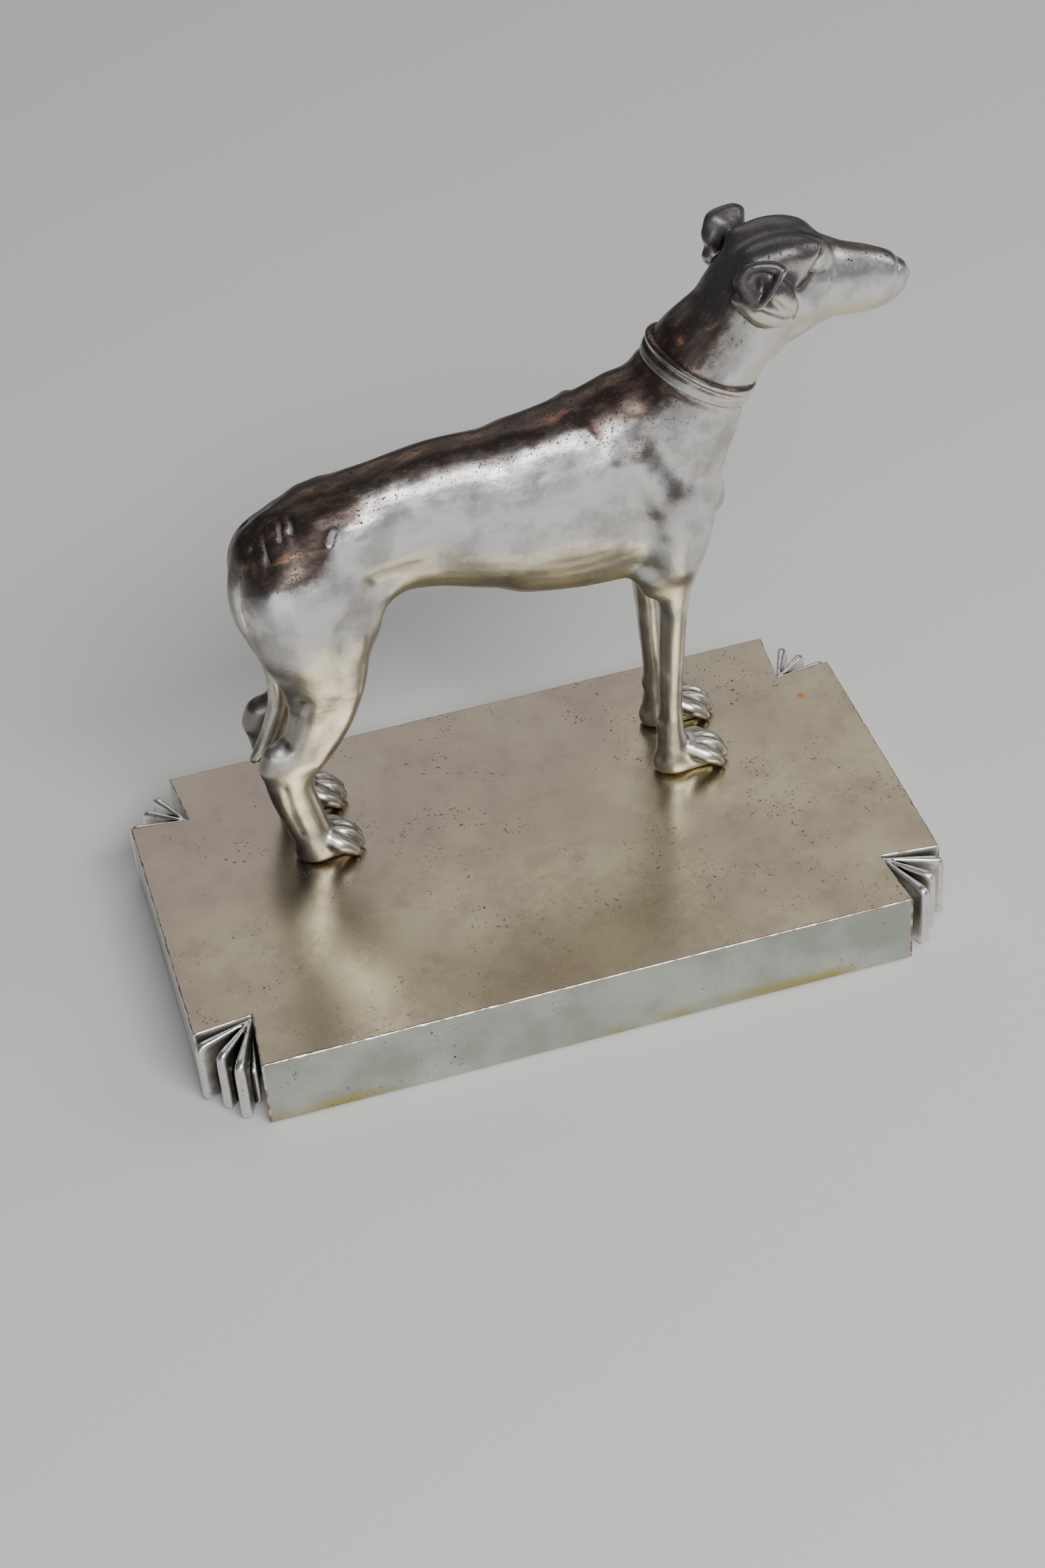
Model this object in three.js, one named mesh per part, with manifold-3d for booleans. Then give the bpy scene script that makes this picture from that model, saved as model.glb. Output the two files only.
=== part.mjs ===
// A plated greyhound mascot standing on a rectangular base with notched, pleated corners.
// Millimetres, +Z up. The origin is the centre of the base's underside, +X is the way the
// dog faces, and -Y is the dog's right side.

import * as THREE from 'three';
import { mergeVertices } from 'three/addons/utils/BufferGeometryUtils.js';
import Module from 'manifold-3d';

const wasm = await Module();
wasm.setup();

// ---- Driving dimensions -------------------------------------------------------------

const GAP = 0.3;                 // clearance between neighbouring pieces
const BASE_LENGTH = 170;
const BASE_WIDTH = 98;
const BASE_TOP = 18;             // height of the base's upper face
const RIM_LIFT = 0.3;            // the shell's rim stands this far above the felt's face
const WALL = 2.6;                // side wall of the base shell
const TOP_THICKNESS = 2.6;
const NOTCH_X = 13.3;            // size of the corner notches along the base's length
const NOTCH_Y = 15.5;            // and along its width
const NOTCH_LEAN = 1.5;          // each wall of a notch leans in over it by this much

const FELT_THICKNESS = 1;
const PLATE_BOTTOM = 1.3;
const PLATE_THICKNESS = 1.3;
const BOSS_RADIUS = 3.4;         // posts under the base top that take the plate's screws
const BOSS_X = 60;
const BOSS_Y = 39;
const SCREW_RADIUS = 1.1;
const SCREW_HEAD_RADIUS = 2.3;
const SCREW_LENGTH = 9;

const DOG_Y = 20;                // the dog stands towards the back of the base
const LEG_Y = 8.5;               // each leg's distance from the dog's own middle plane
const FORE_PAW_X = 38.4;         // where the stud enters each fore paw
const HIND_PAW_X = -46.2;
const STUD_RADIUS = 1.5;
const STUD_IN_PAW = 4.5;
const STUD_BELOW_TOP = 8;        // how far each stud reaches below the base's upper face
const WASHER_RADIUS = 3.6;
const WASHER_THICKNESS = 0.8;
const NUT_RADIUS = 3.2;          // across the corners
const NUT_THICKNESS = 2.4;

const FAR_PAW_SHIFT = 2.2;       // the left fore paw stands this far in front of the right one

const COLLAR_CENTRE = [50, 101.6];
const COLLAR_TILT = 58.8;        // the neck's rise from level at the collar, in degrees
const COLLAR_HEIGHT = 4.8;
const COLLAR_WALL = 0.8;
const BEAD_HEIGHT = 1.5;         // the bead round the collar's upper edge
const BEAD_REACH = 0.5;          // it stands this far out of the band
const NECK_RADIUS = 11.6;        // the round neck inside the collar
const SEAT_REACH = 7;            // the collar's seat is cut this far out from the neck
const RING_RADIUS = 1.2;         // the small ring at the throat
const RING_WIRE = 0.5;
const RING_LIFT = 1.6;           // its height above the collar's middle, along the neck

const SILVER = 0xb9b6ab;
const TARNISH = 0x3a2a24;
const OLIVE = 0x6f6650;
const STEEL = 0x8f8f8c;
const FELT = 0x23352a;

// ---- Solids -------------------------------------------------------------------------

// The manifold solid of a closed three.js geometry.
function solidOf(geometry) {
  const bare = geometry.clone();
  bare.deleteAttribute('normal');
  bare.deleteAttribute('uv');
  const merged = mergeVertices(bare, 1e-4);
  return new wasm.Manifold(new wasm.Mesh({
    numProp: 3,
    vertProperties: new Float32Array(merged.attributes.position.array),
    triVerts: new Uint32Array(merged.index.array),
  }));
}

// The three.js geometry of a manifold solid.
function geometryOf(solid) {
  const mesh = solid.getMesh();
  const geometry = new THREE.BufferGeometry();
  geometry.setAttribute('position', new THREE.BufferAttribute(mesh.vertProperties, 3));
  geometry.setIndex(new THREE.BufferAttribute(mesh.triVerts, 1));
  return geometry;
}

// The largest separate body of a solid, which drops any sliver that a cut leaves behind.
function largestBody(solid) {
  const bodies = solid.decompose();
  return bodies.reduce((best, body) => (body.volume() > best.volume() ? body : best));
}

function namedMesh(name, geometry, color, roughness, metalness) {
  const material = new THREE.MeshStandardMaterial({ color, roughness, metalness });
  const flat = geometry.index ? geometry.toNonIndexed() : geometry;
  flat.computeVertexNormals();
  const mesh = new THREE.Mesh(flat, material);
  mesh.name = name;
  return mesh;
}

function box(sizeX, sizeY, sizeZ, x, y, z) {
  return new THREE.BoxGeometry(sizeX, sizeY, sizeZ).translate(x, y, z);
}

// An upright cylinder standing on height z.
function post(radius, height, x, y, z, sides = 20) {
  const cylinder = new THREE.CylinderGeometry(radius, radius, height, sides);
  return cylinder.rotateX(Math.PI / 2).translate(x, y, z + height / 2);
}

// An upright extrusion of a flat outline, from height low to height high.
function slab(outline, low, high) {
  const shape = new THREE.Shape(outline.map(([x, y]) => new THREE.Vector2(x, y)));
  const options = { depth: high - low, bevelEnabled: false };
  return new THREE.ExtrudeGeometry(shape, options).translate(0, 0, low);
}

// A turned shape about the Z axis. The profile lists [radius, height] pairs.
function turned(profile, sides = 20) {
  const points = profile.map(([radius, height]) => new THREE.Vector2(radius, height));
  return new THREE.LatheGeometry(points, sides).rotateX(Math.PI / 2);
}

// ---- Lofted castings ----------------------------------------------------------------

// A station is [x, y, z, half width across the dog, half depth in the dog's side view].
// Elliptical sections stand square to a smooth curve through the stations.
function loft(stations, sides, steps, grow = 0) {
  const path = new THREE.CatmullRomCurve3(stations.map(([x, y, z]) => new THREE.Vector3(x, y, z)));
  const sizes = new THREE.CatmullRomCurve3(
    stations.map(([, , , wide, deep]) => new THREE.Vector3(wide + grow, deep + grow, 0)),
    false, 'catmullrom', 0.4);
  const positions = [];
  const across = new THREE.Vector3();
  const up = new THREE.Vector3();
  for (let i = 0; i <= steps; i += 1) {
    const centre = path.getPoint(i / steps);
    const along = path.getTangent(i / steps);
    const size = sizes.getPoint(i / steps);
    across.set(0, 1, 0).addScaledVector(along, -along.y).normalize();
    up.crossVectors(along, across);
    for (let j = 0; j < sides; j += 1) {
      const angle = (2 * Math.PI * j) / sides;
      const point = centre.clone()
        .addScaledVector(across, size.x * Math.cos(angle))
        .addScaledVector(up, size.y * Math.sin(angle));
      positions.push(point.x, point.y, point.z);
    }
  }
  const start = positions.length / 3;
  const first = path.getPoint(0);
  const last = path.getPoint(1);
  positions.push(first.x, first.y, first.z, last.x, last.y, last.z);
  const index = [];
  for (let i = 0; i < steps; i += 1) {
    for (let j = 0; j < sides; j += 1) {
      const next = (j + 1) % sides;
      const a = i * sides + j;
      const b = i * sides + next;
      index.push(a, b, b + sides, a, b + sides, a + sides);
    }
  }
  for (let j = 0; j < sides; j += 1) {
    const next = (j + 1) % sides;
    index.push(start, next, j, start + 1, steps * sides + j, steps * sides + next);
  }
  const geometry = new THREE.BufferGeometry();
  geometry.setAttribute('position', new THREE.Float32BufferAttribute(positions, 3));
  geometry.setIndex(index);
  return geometry;
}

// The same stations on the dog's other side.
const mirrored = (stations, side) => stations.map(([x, y, z, ...size]) => [x, side * y, z, ...size]);

const TILT = THREE.MathUtils.degToRad(COLLAR_TILT);
const neckPoint = (along, forward = 0) => [
  COLLAR_CENTRE[0] + along * Math.cos(TILT) + forward * Math.sin(TILT),
  0,
  COLLAR_CENTRE[1] + along * Math.sin(TILT) - forward * Math.cos(TILT),
];

// Heights are above the base's upper face, and y is from the dog's middle plane.
const TRUNK = [
  [-53.6, 0, 74, 3, 4],
  [-50, 0, 74.6, 9, 10.4],
  [-42, 0, 75, 12, 13.8],
  [-32, 0, 77.5, 11.5, 14.8],
  [-21, 0, 78.6, 11, 15.8],
  [-9, 0, 79, 11.8, 17.4],
  [3, 0, 77.3, 12.8, 19.2],
  [13, 0, 76.2, 13.8, 21],
  [23, 0, 76.8, 14.2, 22.4],
  [32, 0, 79.8, 14, 22.6],
  [37.8, 0, 84.6, 13, 20.4],
  [44.2, 0, 92, 12.6, 15.4],
  [...neckPoint(-3.4), 12.7, 12.8],
  [...neckPoint(0), NECK_RADIUS, NECK_RADIUS],
];

const HEAD = [
  [...neckPoint(GAP), NECK_RADIUS, NECK_RADIUS],
  [...neckPoint(2.5), NECK_RADIUS, NECK_RADIUS],
  [...neckPoint(6, 0.6), 10.8, 12],
  [58.4, 0, 110.9, 10.2, 10.8],
  [62.4, 0, 116.2, 10.2, 10.8],
  [67, 0, 119.2, 10, 11.4],
  [73, 0, 118, 8.6, 10.4],
  [80, 0, 115.9, 6.8, 8.6],
  [87, 0, 114.2, 5.7, 7.6],
  [92.4, 0, 113.2, 4.7, 6],
  [96, 0, 112.7, 3.2, 4],
  [97.6, 0, 112.6, 1.6, 2],
];

const EAR = [
  [56.4, 10.4, 125, 1.4, 2.6],
  [59.8, 11.6, 126.4, 2.2, 4.2],
  [63.8, 12.6, 122.6, 2.1, 5.4],
  [66.6, 12.4, 118.4, 1.4, 3],
];

const FORELEG = [
  [37, 5, 84, 4, 8],
  [39, 8, 72, 6.4, 11],
  [39.2, 8.5, 62, 6, 9.2],
  [39.6, 8.5, 54, 4.8, 5.8],
  [40, 8.5, 48, 3.8, 3.6],
  [39.3, 8.5, 38, 3.4, 3.1],
  [38.6, 8.5, 26, 3.1, 2.8],
  [38.3, 8.5, 18, 3, 2.7],
  [38.2, 8.5, 10, 3.3, 3.2],
  [38.4, 8.5, 4, 4.2, 4],
];

// How far forward of the right foreleg the left one runs, at falling heights.
const FAR_LEG_SHIFTS = [0, 0, 0, -1, -1.2, -0.2, 0.9, 1.6, 2.2, 2.2];
const FAR_FORELEG = FORELEG.map(([x, ...rest], i) => [x + FAR_LEG_SHIFTS[i], ...rest]);

const FORE_PAW = [
  [33.4, 8.5, 2.6, 3, 1.8],
  [36, 8.5, 3.2, 4.6, 3],
  [41, 8.5, 3.8, 5.2, 3.8],
  [46.5, 8.5, 3.2, 5.4, 3.4],
  [50, 8.5, 2.2, 4.4, 2.4],
  [51.4, 8.5, 1.6, 2.4, 1.2],
];
const FAR_FORE_PAW = FORE_PAW.map(([x, ...rest]) => [x + FAR_PAW_SHIFT, ...rest]);

const HIND_LEG = [
  [-38, 4, 83, 3, 6],
  [-40.4, 7.2, 74, 7.6, 13],
  [-40.9, 8.4, 64, 7.8, 13],
  [-39.8, 8.6, 56, 7, 11.7],
  [-39.6, 8.6, 48, 6, 9.5],
  [-40.9, 8.5, 40, 5, 7.6],
  [-44.6, 8.5, 32.4, 4.4, 6.4],
  [-49.2, 8.5, 27, 4, 6.2],
  [-50, 8.5, 20.6, 3.8, 5.2],
  [-48.2, 8.5, 12, 3.8, 4.8],
  [-46.4, 8.5, 4.4, 4.3, 4.6],
];

const HIND_PAW = [
  [-51.4, 8.5, 2.6, 3, 1.8],
  [-48.6, 8.5, 3.2, 4.6, 3],
  [-44, 8.5, 3.6, 5.2, 3.6],
  [-39.5, 8.5, 3, 5.3, 3.2],
  [-36.6, 8.5, 2.2, 4, 2.2],
  [-35.2, 8.5, 1.6, 2.2, 1.1],
];

const TAIL = [
  [-45.6, 0, 85.6, 3, 3],
  [-49.4, 0, 82, 2.9, 2.9],
  [-52, 0, 77, 2.8, 2.8],
  [-53.4, 0, 70.6, 2.7, 2.7],
  [-53.2, 0, 64, 2.6, 2.6],
  [-51.2, 0, 57, 2.4, 2.4],
  [-49, 0, 50, 2.3, 2.3],
  [-48.8, 0, 41, 2.1, 2.1],
  [-51, 0, 33, 2, 2],
  [-54.4, 0, 26.4, 1.6, 1.6],
  [-56.8, 0, 23.6, 0.9, 0.9],
];

const GROUND = GAP;                      // the paws' soles, just above the base top

// ---- The dog ------------------------------------------------------------------------

// A ring in the neck's own frame: turned about Z, then leaned to the neck's direction.
function alongNeck(geometry, along) {
  const [x, y, z] = neckPoint(along);
  return geometry.rotateY(Math.PI / 2 - TILT).translate(x, y, z);
}

// The seat turned into the trunk and the head, where the collar sits.
const collarSeat = solidOf(alongNeck(turned([
  [NECK_RADIUS, -COLLAR_HEIGHT / 2 - GAP], [NECK_RADIUS + SEAT_REACH, -COLLAR_HEIGHT / 2 - GAP],
  [NECK_RADIUS + SEAT_REACH, COLLAR_HEIGHT / 2 + GAP], [NECK_RADIUS, COLLAR_HEIGHT / 2 + GAP],
  [NECK_RADIUS, -COLLAR_HEIGHT / 2 - GAP],
], 36), 0));

const trunkSolid = largestBody(solidOf(loft(TRUNK, 18, 26)).subtract(collarSeat));
const trunkCutter = solidOf(loft(TRUNK, 18, 26, GAP));
const belowSoles = solidOf(box(300, 300, 40, 0, 0, GROUND - 20));

function legSolid(stations, paw, steps, studX, side) {
  const leg = solidOf(loft(mirrored(stations, side), 12, steps))
    .add(solidOf(loft(mirrored(paw, side), 12, 8)))
    .subtract(trunkCutter)
    .subtract(belowSoles)
    .subtract(solidOf(post(STUD_RADIUS + GAP, STUD_IN_PAW + 2, studX, side * LEG_Y, -1)));
  return largestBody(leg);
}

function buildLegs() {
  const legs = [
    ['right_foreleg', legSolid(FORELEG, FORE_PAW, 16, FORE_PAW_X, -1)],
    ['left_foreleg', legSolid(FAR_FORELEG, FAR_FORE_PAW, 16, FORE_PAW_X + FAR_PAW_SHIFT, 1)],
    ['right_hind_leg', legSolid(HIND_LEG, HIND_PAW, 18, HIND_PAW_X, -1)],
    ['left_hind_leg', legSolid(HIND_LEG, HIND_PAW, 18, HIND_PAW_X, 1)],
  ];
  return legs.map(([name, solid]) => namedMesh(name, geometryOf(solid), SILVER, 0.35, 1));
}

function tailSolid() {
  return largestBody(solidOf(loft(TAIL, 10, 20)).subtract(trunkCutter));
}

function headSolid() {
  const ears = [-1, 1].map((side) => solidOf(loft(mirrored(EAR, side), 8, 6)));
  const head = ears.reduce((all, ear) => all.add(ear), solidOf(loft(HEAD, 18, 26)));
  return largestBody(head.subtract(collarSeat));
}

function collarBand() {
  const inner = NECK_RADIUS + GAP;
  const outer = inner + COLLAR_WALL;
  const low = -COLLAR_HEIGHT / 2;
  const high = COLLAR_HEIGHT / 2;
  const profile = [
    [inner, low], [outer - 0.1, low], [outer, low + 0.4], [outer, high - BEAD_HEIGHT],
    [outer + BEAD_REACH, high - 0.75 * BEAD_HEIGHT], [outer + BEAD_REACH, high - 0.25 * BEAD_HEIGHT],
    [outer - 0.2, high], [inner, high], [inner, low],
  ];
  return solidOf(alongNeck(turned(profile, 36), 0)).subtract(solidOf(ringSpace()));
}

function atThroat(geometry) {
  const reach = NECK_RADIUS + GAP + RING_RADIUS + RING_WIRE;
  return alongNeck(geometry.translate(reach, 0, 0), RING_LIFT);
}

// The room that the ring takes in the bead, with the clearance round it.
function ringSpace() {
  return atThroat(new THREE.CylinderGeometry(
    RING_RADIUS + RING_WIRE + GAP, RING_RADIUS + RING_WIRE + GAP, 2 * (RING_WIRE + GAP), 18));
}

function collarRing() {
  const ring = new THREE.TorusGeometry(RING_RADIUS, RING_WIRE, 8, 20).rotateX(Math.PI / 2);
  return atThroat(ring);
}

function buildDog() {
  const dog = new THREE.Group();
  dog.position.set(0, DOG_Y, BASE_TOP);
  dog.add(
    namedMesh('torso_casting', geometryOf(trunkSolid), SILVER, 0.35, 1),
    namedMesh('head_casting', geometryOf(headSolid()), SILVER, 0.35, 1),
    ...buildLegs(),
    namedMesh('tail_casting', geometryOf(tailSolid()), TARNISH, 0.4, 1),
    namedMesh('collar_band', geometryOf(collarBand()), SILVER, 0.3, 1),
    namedMesh('collar_ring', collarRing(), SILVER, 0.3, 1),
  );
  return dog;
}

// ---- The base -----------------------------------------------------------------------

// The base's outline with its four notches, set in by a margin.
function baseOutline(inset) {
  const halfX = BASE_LENGTH / 2 - inset;
  const halfY = BASE_WIDTH / 2 - inset;
  const rootX = BASE_LENGTH / 2 - NOTCH_X - inset;
  const rootY = BASE_WIDTH / 2 - NOTCH_Y - inset;
  const quarter = [[halfX, rootY + NOTCH_LEAN], [rootX, rootY], [rootX + NOTCH_LEAN, halfY]];
  const flipped = [...quarter].reverse();
  return [
    ...quarter,
    ...flipped.map(([x, y]) => [-x, y]),
    ...quarter.map(([x, y]) => [-x, -y]),
    ...flipped.map(([x, y]) => [x, -y]),
  ];
}

const corners = [-1, 1].flatMap((sideX) => [-1, 1].map((sideY) => [sideX, sideY]));
const sideName = ([sideX, sideY]) => `${sideX < 0 ? 'rear' : 'front'}_${sideY < 0 ? 'right' : 'left'}`;
const forePawX = (sideY) => FORE_PAW_X + (sideY > 0 ? FAR_PAW_SHIFT : 0);
const pawPlaces = corners.map(([sideX, sideY]) => ({
  name: sideName([sideX, sideY]),
  x: sideX < 0 ? HIND_PAW_X : forePawX(sideY),
  y: DOG_Y + sideY * LEG_Y,
}));
const bossPlaces = corners.map(([sideX, sideY]) => ({
  name: sideName([sideX, sideY]), x: sideX * BOSS_X, y: sideY * BOSS_Y,
}));

function baseShell() {
  const ceiling = BASE_TOP - TOP_THICKNESS;
  const bossFoot = PLATE_BOTTOM + PLATE_THICKNESS + GAP;
  let shell = solidOf(slab(baseOutline(0), RIM_LIFT, BASE_TOP))
    .subtract(solidOf(slab(baseOutline(WALL), RIM_LIFT - 1, ceiling)));
  for (const { x, y } of bossPlaces) {
    const boss = post(BOSS_RADIUS, ceiling - bossFoot + 0.5, x, y, bossFoot);
    const hole = post(SCREW_RADIUS + GAP, SCREW_LENGTH, x, y, bossFoot - 1, 12);
    shell = shell.add(solidOf(boss)).subtract(solidOf(hole));
  }
  for (const { x, y } of pawPlaces) {
    shell = shell.subtract(solidOf(post(STUD_RADIUS + GAP, TOP_THICKNESS + 2, x, y, ceiling - 1, 16)));
  }
  return shell;
}

// One pleated fan. Its three ridges and the valleys between them spread from the notch's
// root, almost level with the base top, out to the notch's mouth, and then drop upright.
const FAN_FOLDS = [9.5, 15, 28, 41.5, 55, 68, 79.5];     // valley, ridge, valley ... in degrees
const FAN_RIDGE_REACH = 13.4;
const FAN_VALLEY_REACH = 8.8;
const FAN_RIDGE_DROP = 1;
const FAN_VALLEY_DROP = 6.5;
const FAN_ROOT = 0.6;                    // the fan's root stands this far out of the notch's
const FAN_FOOT = 0.8;                    // the fan ends this far above the floor

function fanGeometry() {
  const root = [FAN_ROOT, FAN_ROOT];
  const count = FAN_FOLDS.length;
  const rim = FAN_FOLDS.map((degrees, i) => {
    const angle = THREE.MathUtils.degToRad(degrees);
    const isRidge = i % 2 === 1;
    const reach = isRidge ? FAN_RIDGE_REACH : FAN_VALLEY_REACH;
    const drop = isRidge ? FAN_RIDGE_DROP : FAN_VALLEY_DROP;
    return [reach * Math.cos(angle), reach * Math.sin(angle), BASE_TOP - drop];
  });
  const positions = [root[0], root[1], BASE_TOP - GAP, root[0], root[1], FAN_FOOT];
  rim.forEach(([x, y, z]) => positions.push(x, y, z, x, y, FAN_FOOT));
  const index = [];
  for (let i = 0; i < count - 1; i += 1) {
    const top = 2 + 2 * i;
    const foot = top + 1;
    index.push(0, top, top + 2, 1, foot + 2, foot, top, foot, foot + 2, top, foot + 2, top + 2);
  }
  const endTop = 2 * count;
  index.push(0, 1, 3, 0, 3, 2, 0, endTop, endTop + 1, 0, endTop + 1, 1);
  const geometry = new THREE.BufferGeometry();
  geometry.setAttribute('position', new THREE.Float32BufferAttribute(positions, 3));
  geometry.setIndex(index);
  return geometry;
}

// A fan moved to its corner: turned over for the corners where one side is mirrored.
function fanAt(sideX, sideY) {
  const geometry = fanGeometry();
  geometry.scale(sideX, sideY, 1);
  if (sideX * sideY < 0) {
    const index = geometry.index.array;
    for (let i = 0; i < index.length; i += 3) [index[i], index[i + 1]] = [index[i + 1], index[i]];
  }
  return geometry.translate(
    sideX * (BASE_LENGTH / 2 - NOTCH_X), sideY * (BASE_WIDTH / 2 - NOTCH_Y), 0);
}

function countersunkScrew({ x, y }) {
  const head = SCREW_HEAD_RADIUS - SCREW_RADIUS;
  const profile = [[0, 0], [SCREW_HEAD_RADIUS, 0], [SCREW_RADIUS, head], [SCREW_RADIUS, SCREW_LENGTH],
    [0, SCREW_LENGTH]];
  return turned(profile, 14).translate(x, y, PLATE_BOTTOM);
}

function basePlate() {
  const top = PLATE_BOTTOM + PLATE_THICKNESS;
  let plate = solidOf(slab(baseOutline(WALL + GAP), PLATE_BOTTOM, top));
  for (const { x, y } of bossPlaces) {
    const wide = SCREW_HEAD_RADIUS + 1.5 * GAP;
    const narrow = SCREW_RADIUS + 1.5 * GAP;
    const sink = turned([[0, -1], [wide, -1], [wide, 0], [narrow, wide - narrow], [narrow, 4], [0, 4]], 14);
    plate = plate.subtract(solidOf(sink.translate(x, y, PLATE_BOTTOM)));
  }
  return plate;
}

function buildFasteners() {
  const meshes = [];
  const hole = STUD_RADIUS + GAP;
  const washerTop = BASE_TOP - TOP_THICKNESS - GAP;
  const nutTop = washerTop - WASHER_THICKNESS - GAP;
  for (const { name, x, y } of pawPlaces) {
    const stud = post(STUD_RADIUS, STUD_IN_PAW + STUD_BELOW_TOP, x, y, BASE_TOP - STUD_BELOW_TOP, 16);
    const washer = turned([[hole, 0], [WASHER_RADIUS, 0], [WASHER_RADIUS, WASHER_THICKNESS],
      [hole, WASHER_THICKNESS], [hole, 0]], 20);
    const nut = solidOf(post(NUT_RADIUS, NUT_THICKNESS, x, y, nutTop - NUT_THICKNESS, 6))
      .subtract(solidOf(post(hole, NUT_THICKNESS + 2, x, y, nutTop - NUT_THICKNESS - 1, 16)));
    meshes.push(
      namedMesh(`paw_stud_${name}`, stud, STEEL, 0.4, 1),
      namedMesh(`paw_washer_${name}`, washer.translate(x, y, washerTop - WASHER_THICKNESS), STEEL, 0.4, 1),
      namedMesh(`paw_nut_${name}`, geometryOf(nut), STEEL, 0.4, 1),
    );
  }
  for (const place of bossPlaces) {
    meshes.push(namedMesh(`plate_screw_${place.name}`, countersunkScrew(place), STEEL, 0.4, 1));
  }
  return meshes;
}

function buildBase() {
  const base = new THREE.Group();
  base.add(
    namedMesh('base_shell', geometryOf(baseShell()), OLIVE, 0.45, 1),
    namedMesh('base_plate', geometryOf(basePlate()), STEEL, 0.5, 1),
    namedMesh('felt_pad', slab(baseOutline(WALL + 2 * GAP), 0, FELT_THICKNESS), FELT, 0.95, 0),
    ...corners.map(([sideX, sideY]) => namedMesh(
      `fan_${sideName([sideX, sideY])}`, fanAt(sideX, sideY), SILVER, 0.3, 1)),
    ...buildFasteners(),
  );
  return base;
}

const mascot = new THREE.Group();
mascot.add(buildBase(), buildDog());

export default mascot;
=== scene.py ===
"""A worn, silver-plated greyhound mascot on a rectangular base with pleated corner notches.

The cast figure is sculpted as distance fields on a grid, in millimetres in the dog's own
frame: +X is the way it faces, y is from its middle plane, z is above the base's top.
"""

import math
from itertools import product

import bpy
import numpy as np
import openvdb
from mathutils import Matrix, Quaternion, Vector, noise


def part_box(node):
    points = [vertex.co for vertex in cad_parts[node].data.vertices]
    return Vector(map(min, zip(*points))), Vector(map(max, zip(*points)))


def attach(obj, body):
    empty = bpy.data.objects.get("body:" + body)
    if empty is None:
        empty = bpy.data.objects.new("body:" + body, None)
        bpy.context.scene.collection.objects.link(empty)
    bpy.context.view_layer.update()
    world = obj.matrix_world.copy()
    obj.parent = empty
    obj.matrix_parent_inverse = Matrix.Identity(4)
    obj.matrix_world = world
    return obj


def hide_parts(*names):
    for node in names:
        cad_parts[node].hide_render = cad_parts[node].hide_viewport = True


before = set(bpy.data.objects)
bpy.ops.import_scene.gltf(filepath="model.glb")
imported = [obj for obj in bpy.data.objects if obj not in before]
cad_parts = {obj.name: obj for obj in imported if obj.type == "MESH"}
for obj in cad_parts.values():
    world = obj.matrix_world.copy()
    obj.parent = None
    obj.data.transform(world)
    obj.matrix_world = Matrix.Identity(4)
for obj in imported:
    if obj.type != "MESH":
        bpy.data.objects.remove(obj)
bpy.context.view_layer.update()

MM = 0.001
SHELL_LOW, SHELL_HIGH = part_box("base_shell")
TORSO_LOW, TORSO_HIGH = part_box("torso_casting")
BASE_TOP = SHELL_HIGH.z
DOG_ORIGIN = Vector((0, (TORSO_LOW.y + TORSO_HIGH.y) / 2, BASE_TOP))

# ---- Camera ----

CAMERA_AIM = Vector((0.0039, 0.0179, BASE_TOP))
CAMERA_AZIMUTH = -13.185
CAMERA_ELEVATION = 40.99
CAMERA_ROLL = -4.976
CAMERA_DISTANCE = 0.7036
CAMERA_LENS = 70.2
LIGHT_AIM = Vector((0, 0, 0.06))


def add_object(name, data):
    made = bpy.data.objects.new(name, data)
    bpy.context.scene.collection.objects.link(made)
    return made


def aimed(name, data, aim, azimuth, elevation, distance, roll=0.0):
    """A camera or light that faces a point from an azimuth (0 is in front of the base, -Y)."""
    made = add_object(name, data)
    a, e = math.radians(azimuth), math.radians(elevation)
    back = Vector((math.sin(a) * math.cos(e), -math.cos(a) * math.cos(e), math.sin(e)))
    made.location = aim + back * distance
    made.rotation_mode = "QUATERNION"
    turn = Quaternion((0, 0, 1), math.radians(roll))
    made.rotation_quaternion = (-back).to_track_quat("-Z", "Y") @ turn
    return made


def make_camera():
    data = bpy.data.cameras.new("camera")
    data.lens = CAMERA_LENS
    data.sensor_width = 36
    data.clip_start, data.clip_end = 0.01, 20
    bpy.context.scene.camera = aimed("camera", data, CAMERA_AIM, CAMERA_AZIMUTH, CAMERA_ELEVATION,
                                     CAMERA_DISTANCE, CAMERA_ROLL)


make_camera()

# ---- Distance fields ----

BAND = 9                    # how many voxels on each side of a surface hold true distances
BODY_VOXEL, FINE_VOXEL, FAN_VOXEL = ((0.5, 0.3, 0.26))
LOOP_VOXEL = 0.18
RELIEF_GAIN = 6


def catmull_rom(rows, per_span):
    """A smooth curve through the rows, with per_span samples from each row to the next."""
    rows = np.array(rows, float)
    padded = np.vstack([2 * rows[0] - rows[1], rows, 2 * rows[-1] - rows[-2]])
    t = np.arange(per_span)[:, None] / per_span
    spans = []
    for a, b, c, d in zip(padded, padded[1:], padded[2:], padded[3:]):
        cubic = (3 * (b - c) + d - a) * t ** 3
        square = (2 * a - 5 * b + 4 * c - d) * t ** 2
        spans.append(0.5 * (2 * b + (c - a) * t + square + cubic))
    return np.vstack(spans + [rows[-1:]])


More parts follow.
